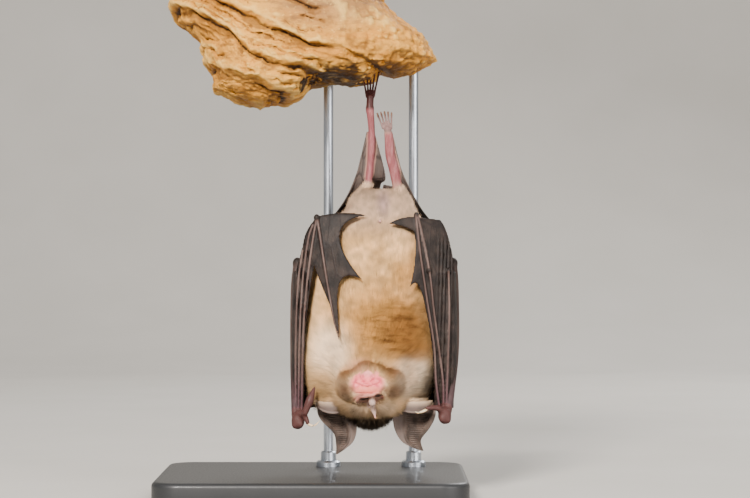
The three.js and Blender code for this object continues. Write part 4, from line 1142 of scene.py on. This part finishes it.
def ledge_level(x, z):
    """Which plate of the rock a height belongs to: whole numbers lie on the ledges."""
    low, middle, high = [np.interp(x, LEDGE_PLACES, row) for row in LEDGES]
    level = np.where(z < middle, (z - low) / (middle - low), 1 + (z - middle) / (high - middle))
    return np.where(z < low, (z - low) / 9, np.where(z > high, 2 + (z - high) / 11, level))


def rock_relief(p):
    """Relief of the rock's surface at points near it, and how deep in a gap each is, for the shade painted
    into the gaps.
    """
    x, y, z = p.T
    right = step(x + 0.35 * (z - 150), -22, -8)
    top = 1 - step(z, 166, 171)
    ragged = 0.9 * rough(p, 5.0, 5, 51)
    height = z + 0.12 * (y + 24) + 0.8 * np.sin(y / 6 + z / 8) + ragged
    level = ledge_level(x + 1.5 * np.sin(y / 5), height)
    main, main_gap = plates(level, 0.14)
    second, second_gap = plates(3 * level + 0.3 * rough(p, 4.0, 4, 57), 0.2)
    third, third_gap = plates(7.3 * level + 0.6 * rough(p, 3.0, 4, 59), 0.35)
    broken = step(rough(p * [0.6, 1, 1], 7, 2, 13), -0.35, 0.15)
    whole = step(rough(p * [0.6, 1, 1], 9, 2, 15), -0.6, -0.1)
    flaky = step(noise(p * [0.7, 1, 1], 5, 61), -0.3, 0.3)
    left = 1.05 * main + broken * (0.5 * second - 0.5 * second_gap) - 0.8 * whole * main_gap
    left = left + flaky * (0.26 * third - 0.2 * third_gap) + 0.5 * rough(p, 3.4, 5, 33)
    lump = 0.6 * (np.sin(x / 3.1 + 1) * np.sin(y / 3.7) + np.sin(z / 2.9 + x / 6))
    knob = 1.3 * (np.abs(noise(p, 2.4, 21)) + 0.6 * np.abs(noise(p, 1.1, 22))) - 0.7
    knobbly = step(x - 0.3 * (z - 140), -14, -4)
    streak = 0.4 * rough(p * [1, 1, 0.25], 1.9, 3, 29)
    beside = lump + knobbly * knob + (1 - knobbly) * streak
    # how deep in a crack between plates: paint_rock darkens it there as painted shade
    gap = np.maximum(0.8 * broken * second_gap, whole * main_gap) + 0.3 * flaky * third_gap
    relief = left * (1 - right) + beside * right
    return relief * top + 0.22 * rough(p, 1.1, 2, 37), gap * top * (1 - right)


def rock():
    """The cut rock: layered and flaking on the left, knobbly on the right, smooth streaks between."""
    low, high = np.array(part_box("perch_rock")) / MM - [HANG_X, 0, 0]
    block = Block(low - 1.6, high + 1.6, 0.5)
    _, p = block.window(low - 1.6, high + 1.6, 0)
    p = p.reshape(-1, 3)
    q = p - ROCK_MIDDLE
    power = 2.8
    fill = (np.hypot(q[:, 0], q[:, 2]) / rock_reach(q[:, 0], q[:, 2] + 1e-6)) ** power
    fill = (fill + np.abs(q[:, 1] / ROCK_DEPTH) ** power) ** (1 / power)
    away = np.linalg.norm(q, axis=1) * (1 - 1 / np.maximum(fill, 0.01))
    near = np.abs(away) < 4.5
    away[near] -= rock_relief(p[near])[0]
    hollow = 4 * (1 - within(p, *ROCK_HOLLOW))
    away = np.maximum(away, hollow + 0.35 * noise(p, 2.5, 71))
    block.value = away.reshape(block.value.shape)
    block.carve(ellipsoid((-0.9, 2.6, 133.6), (4.6, 5.2, 5.6)), 0.8)
    crack = [(0.6, -27, 134.2), (2.6, -27, 138.6), (4.4, -26, 140.6), (7.6, -25, 141.2)]
    for depth in (0, 5, 10, 15):
        block.carve(tube([(x, y + depth, z) for x, y, z in crack], [1.0, 0.75, 0.5, 0.2], 10), 0.3)
    points, quads = block.surface()
    relief, gap = rock_relief(points)
    # painted shade in the hollow beside the foot; it goes into the gap attribute with the painted shade of
    # the cracks
    hollow_shade = within(points, *ROCK_HOLLOW) + 0.16 * rough(points, 2.5, 3, 73)
    hollow_shade = 0.9 * (1 - step(hollow_shade, 0.99, 1.2))
    thing = mesh_of("cave_rock", put(points), [quads], {
        "gap": np.clip(gap + hollow_shade, 0, 1), "raised": np.clip(0.5 + 0.35 * relief, 0, 1),
    })
    apply_modifier(thing, "DECIMATE", ratio=min(1.0, ROCK_TRIANGLES / (2 * len(quads))))
    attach(thing, "root")
    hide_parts("perch_rock")
    return thing


# ---- stand --------------------------------------------------------------------------------------


def base():
    """A heavy rounded slab with a soft upper edge, set back a little where it meets the floor."""
    low, high = np.array(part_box("stand_base")) / MM
    mid, corner = (high[:2] + low[:2]) / 2, 9.0
    # the slab's side: how far in, and how high
    profile = [(1.0, 0.0), (0.5, 0.15), (0.5, 0.9), (0.05, 1.1), (0.0, 1.4)]
    profile += [(1.5 - 1.5 * math.cos(a), 6.5 + 1.5 * math.sin(a)) for a in np.linspace(0, math.pi / 2, 9)]
    profile += [(3.5, 8.0), (9.0, 8.0)]
    rings = []
    for inset, z in profile:
        ring = []
        radius = corner - min(inset, 8.0)
        for turn, signs in zip(np.linspace(0, 2 * np.pi, 5), ((1, 1), (-1, 1), (-1, -1), (1, -1))):
            centre = mid + (high[:2] - mid - corner - max(inset - 8, 0)) * signs
            ring += [(*(centre + radius * np.array([math.cos(a), math.sin(a)])), z)
                     for a in turn + np.linspace(0, np.pi / 2, 15)]
        rings.append(ring)
    points, *faces = loft(rings)
    thing = mesh_of("base_slab", points * MM, faces)
    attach(thing, "root")
    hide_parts("stand_base")
    return thing


def rods():
    """Two steel rods, each with a turned collar where it stands in the base."""
    made = []
    for word in ("left", "right"):
        low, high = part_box(f"stand_rod_{word}")
        x, y = (low.x + high.x) / 2, (low.y + high.y) / 2
        radius = (high.x - low.x) / 2
        # each line holds radii and heights
        profile = [(0, low.z), (radius - 0.2 * MM, low.z), (radius, low.z + 0.2 * MM),
                   (radius, high.z - 0.4 * MM), (radius - 0.4 * MM, high.z), (0, high.z)]
        foot = 8 * MM
        collar = [(radius, foot), (radius + 2.4 * MM, foot), (radius + 2.4 * MM, foot + 1.4 * MM),
                  (radius + 1.9 * MM, foot + 1.9 * MM), (radius + 1.0 * MM, foot + 2.0 * MM),
                  (radius + 0.9 * MM, foot + 4.6 * MM), (radius + 0.5 * MM, foot + 5 * MM),
                  (radius, foot + 5 * MM)]
        for name, line in ((f"rod_{word}", profile), (f"rod_collar_{word}", collar)):
            angle = np.linspace(0, 2 * np.pi, ROUND, endpoint=False)
            points = np.array([(x + r * math.cos(a), y + r * math.sin(a), z) for r, z in line for a in angle])
            turns = len(line) if line is collar else len(line) - 1
            r, i = [g.ravel() for g in np.meshgrid(np.arange(turns), np.arange(ROUND), indexing="ij")]
            up, after = (r + 1) % len(line), (i + 1) % ROUND
            quads = np.stack([r * ROUND + i, r * ROUND + after, up * ROUND + after, up * ROUND + i], 1)
            thing = mesh_of(name, points, [quads])
            apply_modifier(thing, "WELD", merge_threshold=0.000001)
            bpy.ops.object.mode_set(mode="EDIT")
            bpy.ops.mesh.select_all(action="SELECT")
            bpy.ops.mesh.normals_make_consistent(inside=False)
            bpy.ops.object.mode_set(mode="OBJECT")
            bpy.ops.object.shade_smooth_by_angle(angle=math.radians(35))
            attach(thing, "root")
            made.append(thing)
        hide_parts(f"stand_rod_{word}")
    return made


# ---- finishes -----------------------------------------------------------------------------------


# The rock's gap tint, the nostrils' tint and the lip corners' tint are painted shade. The sole tint is dark
# skin that also carries the rock's painted shadow, and the side tint is partly painted light where it lifts
# the shade on the right by the wing.
TINTS = {
    "cream": (0.883, 0.575, 0.285), "buff": (0.600, 0.370, 0.157), "hip": (0.690, 0.490, 0.345),
    "tan": (0.499, 0.244, 0.050), "russet": (0.280, 0.119, 0.026), "streak": (0.127, 0.052, 0.013),
    "pale": (0.920, 0.737, 0.539), "flank": (0.680, 0.480, 0.310), "cheek": (0.125, 0.048, 0.023),
    "cheek_edge": (0.058, 0.026, 0.015), "gold_fur": (0.600, 0.310, 0.130), "brow": (0.811, 0.447, 0.261),
    "side": (0.920, 0.680, 0.460), "lip_corner_shade": (0.160, 0.060, 0.030), "lilac": (0.520, 0.340, 0.400),
    "back": (0.152, 0.099, 0.058), "hair_tip": (0.018, 0.011, 0.006), "skin_dark": (0.010, 0.007, 0.006),
    "skin_mid": (0.032, 0.022, 0.018), "speckle": (0.085, 0.057, 0.047), "vein": (0.012, 0.008, 0.008),
    "bone": (0.095, 0.058, 0.050), "bone_pale": (0.200, 0.135, 0.115), "mauve": (0.107, 0.052, 0.061),
    "web": (0.095, 0.072, 0.063), "rose": (0.920, 0.199, 0.207), "flesh": (0.610, 0.082, 0.110),
    "shank": (0.230, 0.068, 0.074), "hand": (0.075, 0.030, 0.027), "shank_pale": (0.340, 0.135, 0.138),
    "sole": (0.045, 0.014, 0.012), "foot": (0.180, 0.110, 0.105), "toe": (0.162, 0.079, 0.045),
    "ear": (0.120, 0.086, 0.070), "ear_dark": (0.055, 0.040, 0.033), "ear_pale": (0.17, 0.127, 0.11),
    "rim": (0.290, 0.155, 0.115), "salmon": (0.800, 0.230, 0.160), "sella": (0.460, 0.320, 0.270),
    "nostril_shade": (0.012, 0.004, 0.004), "leaf": (0.765, 0.515, 0.417), "ochre": (0.463, 0.190, 0.022),
    "sand": (0.744, 0.350, 0.055), "gold": (0.628, 0.260, 0.030), "chalk": (0.900, 0.580, 0.160),
    "umber": (0.184, 0.070, 0.012), "gap": (0.024, 0.011, 0.005), "clay": (0.269, 0.159, 0.085),
    "horn": (0.9, 0.72, 0.45), "horn_end": (0.405, 0.256, 0.129), "pupil": (0.004, 0.004, 0.004),
    "iris": (0.009, 0.005, 0.004), "steel": (0.418, 0.449, 0.493), "steel_2": (0.637, 0.689, 0.763),
    "paint": (0.014, 0.016, 0.017), "paint_2": (0.021, 0.022, 0.025), "floor": (0.526, 0.509, 0.470),
    "floor_2": (0.593, 0.571, 0.538),
}


class Value:
    """A shader socket that can be added, subtracted and multiplied."""

    def __init__(self, paint, socket):
        self.paint, self.socket = paint, socket

    def sum(self, operation, a, b):
        return self.paint.node("Math", {0: a, 1: b}, operation=operation)

    def __add__(self, other):
        return self.sum("ADD", self, other)

    def __radd__(self, other):
        return self.sum("ADD", other, self)

    def __sub__(self, other):
        return self.sum("SUBTRACT", self, other)

    def __mul__(self, other):
        return self.sum("MULTIPLY", self, other)

    def __rmul__(self, other):
        return self.sum("MULTIPLY", other, self)


class Paint:
    """A material's nodes, made from Python expressions."""

    def __init__(self, name):
        self.material = bpy.data.materials.new(name)
        self.material.use_nodes = True
        self.tree = self.material.node_tree
        self.tree.nodes.clear()
        self.place = self.node("TexCoord", out="Object")

    def node(self, kind, inputs=None, out=0, **settings):
        made = self.tree.nodes.new("ShaderNode" + kind)
        for key, value in settings.items():
            setattr(made, key, value)
        for key, value in (inputs or {}).items():
            if isinstance(value, Value):
                self.tree.links.new(value.socket, made.inputs[key])
            elif isinstance(value, tuple) and made.inputs[key].type == "RGBA":
                made.inputs[key].default_value = (*value, 1)
            else:
                made.inputs[key].default_value = value
        return Value(self, made.outputs[out]) if made.outputs else None

    def attribute(self, name):
        return self.node("Attribute", out="Fac", attribute_name=name)

    def axis(self, number):
        """The place along X, Y or Z, in metres."""
        return self.node("SeparateXYZ", {0: self.place}, number)

    def stretch(self, x, y, z, turn=(0, 0, 0)):
        return self.node("Mapping", {"Vector": self.place, "Scale": (x, y, z), "Rotation": turn})

    def noise(self, size, detail=3.0, rough=0.5, place=None):
        """Noise with lumps of a size in millimetres."""
        return self.node("TexNoise", {"Vector": place or self.place, "Scale": 1 / (size * MM),
                                      "Detail": detail, "Roughness": rough})

    def cell_edges(self, size, place):
        """How far the nearest edge is between cells of a size in millimetres."""
        return self.node("TexVoronoi", {"Vector": place, "Scale": 1 / (size * MM)}, "Distance",
                         feature="DISTANCE_TO_EDGE")

    def ramp(self, value, low, high, start=0.0, end=1.0):
        """start below low, end above high, and smooth between."""
        values = {"Value": value, "From Min": low, "From Max": high, "To Min": start, "To Max": end}
        return self.node("MapRange", values, interpolation_type="SMOOTHSTEP")

    def mix(self, share, a, b):
        """Colour a with a share of b laid over it; each is a tint's name or a socket."""
        a, b = [TINTS[colour] if isinstance(colour, str) else colour for colour in (a, b)]
        return self.node("Mix", {0: share, 6: a, 7: b}, 2, data_type="RGBA")

    def blob(self, centre, radii, low=0.3, high=1.1):
        """1 inside an ellipsoid given in the bat's millimetres, 0 outside it, and soft between."""
        centre = tuple(put(np.array(centre)))
        away = self.node("VectorMath", {0: self.place, 1: centre}, operation="SUBTRACT")
        away = self.node("VectorMath", {0: away, 1: tuple(np.array(radii) * MM)}, operation="DIVIDE")
        away = self.node("VectorMath", {0: away}, "Value", operation="LENGTH")
        return self.ramp(away, low, high, 1.0, 0.0)

    def patch(self, colour, tint, share, *form):
        """The colour with a share of a tint laid over it inside a blob."""
        return self.mix(self.blob(*form) * share, colour, tint)

    def bump(self, height, depth, strength):
        """Relief of a depth in millimetres."""
        return self.node("Bump", {"Height": height, "Distance": depth * MM, "Strength": strength})

    def finish(self, things, **sockets):
        names = {key: key.replace("_", " ").title() for key in sockets}
        names = {key: name.replace("Ior", "IOR") for key, name in names.items()}
        shader = self.node("BsdfPrincipled", {names[key]: value for key, value in sockets.items()})
        self.node("OutputMaterial", {"Surface": shader})
        for thing in things:
            thing.data.materials.clear()
            thing.data.materials.append(self.material)


def markings(paint):
    """The coat's pattern: cream belly, tan chest patch, brown cheeks and a greyer back, with painted shade in
    the chest's partings and painted light beside the right wing.
    """
    y, z = paint.axis(1), paint.axis(2)
    drift = paint.noise(7, 3)
    cream = paint.mix(paint.ramp(drift, 0.35, 0.65), "cream", "buff")
    colour = paint.mix(paint.ramp(z, 0.080, 0.092) * 0.9, cream, "hip")
    colour = paint.patch(colour, "lilac", 0.5, (3.0, -9, 96), (3.2, 9, 8), 0.2)
    colour = paint.patch(colour, "buff", 0.55, (-6, -10, 68), (10, 12, 13))
    warm = paint.blob((4, -10, 55), (19, 14, 18), 0.3, 1.15) * paint.ramp(z, 0.041, 0.046)
    colour = paint.mix(warm * 0.85, colour, "tan")
    colour = paint.patch(colour, "russet", 0.85, (9.5, -11, 53.5), (12, 12, 11), 0.2)
    colour = paint.patch(colour, "tan", 0.6, (10.5, -9, 72), (6.5, 12, 8), 0.2)
    # dark streaks across the chest where the fur parts: painted shade between the locks
    streak = paint.noise(2.6, 4, 0.6, paint.stretch(0.42, 1, 1.5, (0, math.radians(-12), 0)))
    streaks = paint.ramp(streak, 0.46, 0.66) * paint.blob((8, -11, 54), (16, 14, 13))
    colour = paint.mix(streaks * 0.9, colour, "streak")
    colour = paint.patch(colour, "pale", 0.75, (-14, -9, 46), (9, 12, 14))
    low = paint.ramp(z, 0.043, 0.036) * paint.ramp(y, -0.02, -0.004, 1.0, 0.6)
    colour = paint.mix(low * 0.7, colour, "flank")
    # On the right beside the wing, the pale patch and the first side patch are cream fur made lighter still
    # as painted light, to lift the shade there.
    for patch in (
        ("pale", 0.9, (14, -8, 38.5), (9.5, 13, 9)), ("buff", 0.7, (-17, -8, 36), (8, 12, 8)),
        ("russet", 0.7, (13.5, -8, 47), (7, 12, 5)), ("side", 0.8, (10.0, -8, 39.0), (5.6, 9, 7.0)),
        ("brow", 0.8, (-4.5, -11, 42.4), (5.5, 8, 3.4)), ("side", 0.7, (-4.6, -10, 28.6), (4.4, 8, 3.2)),
        ("side", 0.7, (4.0, -10, 28.6), (4.4, 8, 3.2)), ("gold_fur", 0.85, (-9.2, -8, 40.2), (2.8, 10, 3.2)),
        ("gold_fur", 0.8, (5.2, -8, 40.0), (3.6, 10, 3.4)), ("cheek", 0.95, (-9.0, -8, 35.2), (3.4, 11, 4.6)),
        ("cheek", 0.9, (6.4, -8, 35.0), (4.4, 11, 3.8)), ("cheek_edge", 0.8, (-8.2, -8, 33.2), (2.6, 9, 2.4)),
        ("cheek_edge", 0.7, (5.4, -8, 34.2), (2.6, 9, 2.4)),
    ):
        colour = paint.patch(colour, *patch)
    for eye in EYES.values():
        colour = paint.patch(colour, "cheek_edge", 0.55, eye, (2.0, 2.2, 1.8), 0.4)
    back = paint.ramp(y + 0.004 * drift - 0.006 * paint.ramp(z, 0.054, 0.045), 0.003, 0.010)
    return paint.mix(back, colour, "back")


def paint_coat(things):
    paint = Paint("soft_fur")
    along, tone = paint.attribute("along"), paint.attribute("tone")
    colour = markings(paint)
    shade = paint.ramp(along, 0.0, 1.0, 0.85, 1.04) * paint.ramp(tone, 0.05, 0.95, 0.68, 1.24)
    colour = paint.node("VectorMath", {0: colour, "Scale": shade}, operation="SCALE")
    z = paint.axis(2)
    crown = paint.ramp(z + 0.0014 * (tone - along), 0.0262, 0.0242)
    colour = paint.mix(crown * 0.92, colour, "hair_tip")
    paint.finish(things, base_color=colour, roughness=0.75, specular_ior_level=0.15)


def paint_skin(things):
    paint = Paint("bat_skin")
    masks = ("wing", "bone", "pink", "ear", "inner")
    wing, bone, pink, ear, inner = [paint.attribute(name) for name in masks]
    z = paint.axis(2)
    colour = markings(paint)
    long_way = paint.stretch(1, 1, 0.3)
    dark = paint.mix(paint.ramp(paint.noise(5, 4), 0.35, 0.7), "skin_dark", "skin_mid")
    dark = paint.mix(paint.ramp(z, 0.091, 0.099), dark, "web")
    speckle = paint.ramp(paint.noise(0.5, 4, 0.7, long_way), 0.55, 0.72)
    dark = paint.mix(speckle * 0.4, dark, "speckle")
    vein = paint.cell_edges(5.5, paint.stretch(1, 1, 0.45))
    veins = paint.ramp(vein, 0.0, 0.06, 1.0, 0.0)
    dark = paint.mix(veins * 0.6, dark, "vein")
    colour = paint.mix(wing, colour, dark)
    strip = paint.ramp(paint.noise(1.6, 3, 0.5, paint.stretch(1, 1, 0.1)), 0.35, 0.75)
    strip = paint.mix(strip * 0.7, "bone", "bone_pale")
    strip = paint.mix(paint.ramp(z, 0.046, 0.030), strip, "mauve")
    colour = paint.mix(bone * 0.85, colour, strip)
    rosy = paint.mix(paint.ramp(paint.noise(1.4, 3), 0.35, 0.7), "rose", "flesh")
    shank = paint.mix(paint.ramp(paint.noise(1.1, 3, 0.6, paint.stretch(1, 1, 0.2)), 0.4, 0.7),
                      "shank", "shank_pale")
    rosy = paint.mix(paint.ramp(z, 0.060, 0.090), rosy, shank)
    colour = paint.mix(pink, colour, rosy)
    for side in (-1, 1):
        hand = paint.blob((side * 22.5 - 0.5, -8, 28), (8.5, 12, 12), 0.8)
        colour = paint.mix(hand * paint.ramp(pink, 0.0, 0.12), colour, "hand")
    colour = paint.patch(colour, "foot", 0.85, (5.4, -4, 121), (5.2, 14, 5.0), 0.8, 1.05)
    teat = paint.blob((1.9, -9, 88.2), (2.4, 5, 2.4), 0.6)
    colour = paint.mix(teat * pink * 0.6, colour, "leaf")
    # the gripping foot under the rock: dark brown skin, darkened further as painted shadow of the rock
    colour = paint.patch(colour, "sole", 0.95, (-1.2, 1, 131), (6, 8, 7.5), 0.85, 1.05)
    ears = paint.mix(paint.ramp(paint.noise(3.5, 3), 0.35, 0.65), "ear", "ear_dark")
    ears = paint.mix(inner * 0.85, ears, "ear_pale")
    ears = paint.mix(paint.ramp(z, 0.0262, 0.0275), ears, "ear_pale")
    ears = paint.mix(paint.ramp(z, 0.0288, 0.0320) * 0.9, ears, "flank")
    colour = paint.mix(ear, colour, ears)
    chin = paint.blob((-2.0, -15, 42.4), (6.0, 8, 3.4))
    colour = paint.mix(chin * pink * 0.45, colour, "leaf")
    colour = paint.mix(paint.blob((-2.0, -15, 35.2), (5.6, 5, 1.5), 0.5) * pink * 0.8, colour, "salmon")
    # painted shade in the corners of the mouth
    for x in (-7.0, 2.9):
        colour = paint.patch(colour, "lip_corner_shade", 0.8, (x, -13, 35.4), (2.2, 4, 1.8))
    low_face = paint.blob((-1.4, -15, 30.2), (8.5, 8, 4.4), 0.75, 1.0)
    colour = paint.mix(low_face * pink, colour, "rim")
    colour = paint.mix(paint.blob((-0.8, -12, 27.6), (3.0, 7, 4.6), 0.7, 1.0) * pink * 0.9, colour, "sella")
    # painted shade in the nostril hollows under the noseleaf's rim
    for s in NOSTRILS:
        colour = paint.patch(colour, "nostril_shade", 0.95, on_leaf(s, 1.4, 0.0), (2.0, 2.8, 0.95), 0.6, 1.05)
    colour = paint.patch(colour, "sella", 0.9, on_leaf(0.5, 2.8, 1.3), (1.3, 2.2, 1.5), 0.7)
    wrinkles = paint.noise(0.9, 4, 0.6, long_way)
    fine = paint.cell_edges(0.5, paint.stretch(1, 1, 0.5))
    normal = paint.bump(wrinkles + 0.5 * fine + veins * 0.4, 0.16, 0.7)
    paint.finish(things, base_color=colour, roughness=paint.ramp(pink, 0, 1, 0.56, 0.42), normal=normal,
                 specular_ior_level=0.2, subsurface_weight=0.08, subsurface_scale=0.8 * MM,
                 subsurface_radius=(1.0, 0.45, 0.3))


def paint_rock(things):
    paint = Paint("ochre_rock")
    gap = paint.attribute("gap")
    layered = paint.stretch(0.5, 1, 1.6, (0, math.radians(31), 0))
    colour = paint.mix(paint.ramp(paint.noise(15, 4), 0.35, 0.65), "ochre", "sand")
    colour = paint.mix(paint.ramp(paint.noise(8, 4, 0.6, layered), 0.48, 0.62) * 0.8, colour, "gold")
    colour = paint.mix(paint.ramp(paint.noise(3, 5, 0.6, layered), 0.48, 0.7) * 0.7, colour, "umber")
    colour = paint.patch(colour, "clay", 0.6, (-14, -20, 158), (26, 26, 14))
    colour = paint.mix(paint.ramp(paint.noise(1.2, 4, 0.7), 0.56, 0.74) * 0.6, colour, "chalk")
    grit = paint.ramp(paint.noise(0.5, 3, 0.7), 0.58, 0.75)
    colour = paint.mix(grit * 0.5, colour, "umber")
    raised = paint.attribute("raised")
    # the low relief is darkened with umber as painted shade, and the raised relief lightened with chalk as
    # painted highlight
    colour = paint.mix(paint.ramp(raised, 0.45, 0.1) * 0.75, colour, "umber")
    colour = paint.mix(paint.ramp(raised, 0.6, 0.95) * 0.6, colour, "chalk")
    # painted shade: faces that look down are darkened, more so near the hollow beside the foot
    facing = paint.node("SeparateXYZ", {0: paint.node("NewGeometry", out="Normal")}, 2)
    underside_shade = 0.45 + 0.5 * paint.blob((-8, -8, 133), (22, 40, 9), 0.5)
    colour = paint.mix(paint.ramp(facing + 0.3 * raised, -0.38, -0.82) * underside_shade, colour, "gap")
    # painted shade in the cracks between plates and in the hollow
    colour = paint.mix(paint.ramp(gap, 0.3, 1.0), colour, "gap")
    height = paint.noise(1.0, 5, 0.7) + 0.5 * paint.noise(0.35, 3, 0.6)
    height = height + 0.6 * paint.noise(2.2, 4, 0.6, layered)
    paint.finish(things, base_color=colour, roughness=paint.ramp(paint.noise(1.5), 0.4, 0.7, 0.6, 0.95),
                 normal=paint.bump(height, 0.5, 0.9), specular_ior_level=0.15)


def paint_horn(things):
    paint = Paint("claw_horn")
    z = paint.axis(2)
    tint = paint.mix(paint.noise(0.8, 3, 0.5), "horn", "horn_end")
    tint = paint.mix(paint.ramp(z, 0.09, 0.1), tint, "toe")
    paint.finish(things, base_color=tint, roughness=0.32, normal=paint.bump(paint.noise(0.3, 3), 0.03, 0.5),
                 subsurface_weight=0.1, subsurface_scale=0.4 * MM)


def paint_eye(things):
    paint = Paint("black_eye")
    tint = paint.mix(paint.noise(0.4, 2), "pupil", "iris")
    paint.finish(things, base_color=tint, roughness=0.08, coat_weight=0.6, coat_roughness=0.04)


def paint_steel(things):
    paint = Paint("brushed_steel")
    lines = paint.noise(0.5, 4, 0.6, paint.stretch(1, 1, 0.04))
    tint = paint.mix(lines, "steel", "steel_2")
    paint.finish(things, base_color=tint, metallic=1.0, roughness=paint.ramp(lines, 0.3, 0.7, 0.26, 0.4),
                 normal=paint.bump(lines, 0.02, 0.4))


def paint_slab(things):
    paint = Paint("satin_black_paint")
    mottle = paint.noise(0.5, 4, 0.6)
    tint = paint.mix(paint.noise(9, 3), "paint", "paint_2")
    paint.finish(things, base_color=tint, roughness=paint.ramp(mottle, 0.3, 0.7, 0.42, 0.56),
                 normal=paint.bump(mottle, 0.03, 0.5), coat_weight=0.1)


# ---- room ---------------------------------------------------------------------------------------


def room():
    """A pale floor that sweeps up into a backdrop, soft lamps and the camera."""
    bend, back, half = 0.5, 1.3, 3.0
    line = [(-2.4, 0.0), (back - bend, 0.0)]
    line += [(back - bend + bend * math.sin(a), bend - bend * math.cos(a))
             for a in np.linspace(0, math.pi / 2, 16)]
    line += [(back, 3.2)]
    points = np.array([(x, y, z) for y, z in line for x in (-half, half)])
    k = 2 * np.arange(len(line) - 1)[:, None]
    floor = mesh_of("floor_sweep", points, [k + [0, 1, 3, 2]])
    paint = Paint("pale_floor")
    tint = paint.mix(paint.noise(60, 3), "floor", "floor_2")
    paint.finish([floor], base_color=tint, roughness=0.9, specular_ior_level=0.1)

    world = bpy.data.worlds.new("soft_room")
    bpy.context.scene.world = world
    world.use_nodes = True
    world.node_tree.nodes["Background"].inputs["Color"].default_value = (1, 0.98, 0.96, 1)
    world.node_tree.nodes["Background"].inputs["Strength"].default_value = 0.42

    target = np.array([0.018, 0.0, 0.085])
    for name, place, size, power, warmth in (
        ("key_lamp", (-0.30, -1.0, 0.62), 0.28, 30.0, 0.88), ("fill_lamp", (0.8, -0.8, 0.25), 0.8, 9.5, 0.94),
        ("rim_lamp", (0.4, 0.7, 0.7), 0.5, 8.0, 0.98),
    ):
        data = bpy.data.lights.new(name, "AREA")
        data.shape, data.size, data.energy = "DISK", size, power
        data.color = (1, 0.5 + warmth / 2, warmth)
        lamp = bpy.data.objects.new(name, data)
        lamp.location = place
        aim = Vector(target) - Vector(place)
        lamp.rotation_euler = aim.to_track_quat("-Z", "Y").to_euler()
        bpy.context.scene.collection.objects.link(lamp)

    data = bpy.data.cameras.new("camera")
    data.sensor_width, data.lens = 36, 117
    data.clip_start, data.clip_end = 0.05, 20
    camera = bpy.data.objects.new("camera", data)
    camera.location = (0.01982, -0.78, 0.0794)
    camera.rotation_euler = (math.pi / 2, 0, 0)
    bpy.context.scene.collection.objects.link(camera)
    bpy.context.scene.camera = camera


# ---- making it all ------------------------------------------------------------------------------
BODY = trunk()
HEAD_SKIN = head()
room()
paint_skin([skin()])
paint_coat([*coats(), whiskers()])
paint_eye([eyeball("left"), eyeball("right")])
paint_horn(claws())
paint_rock([rock()])
paint_slab([base()])
paint_steel(rods())
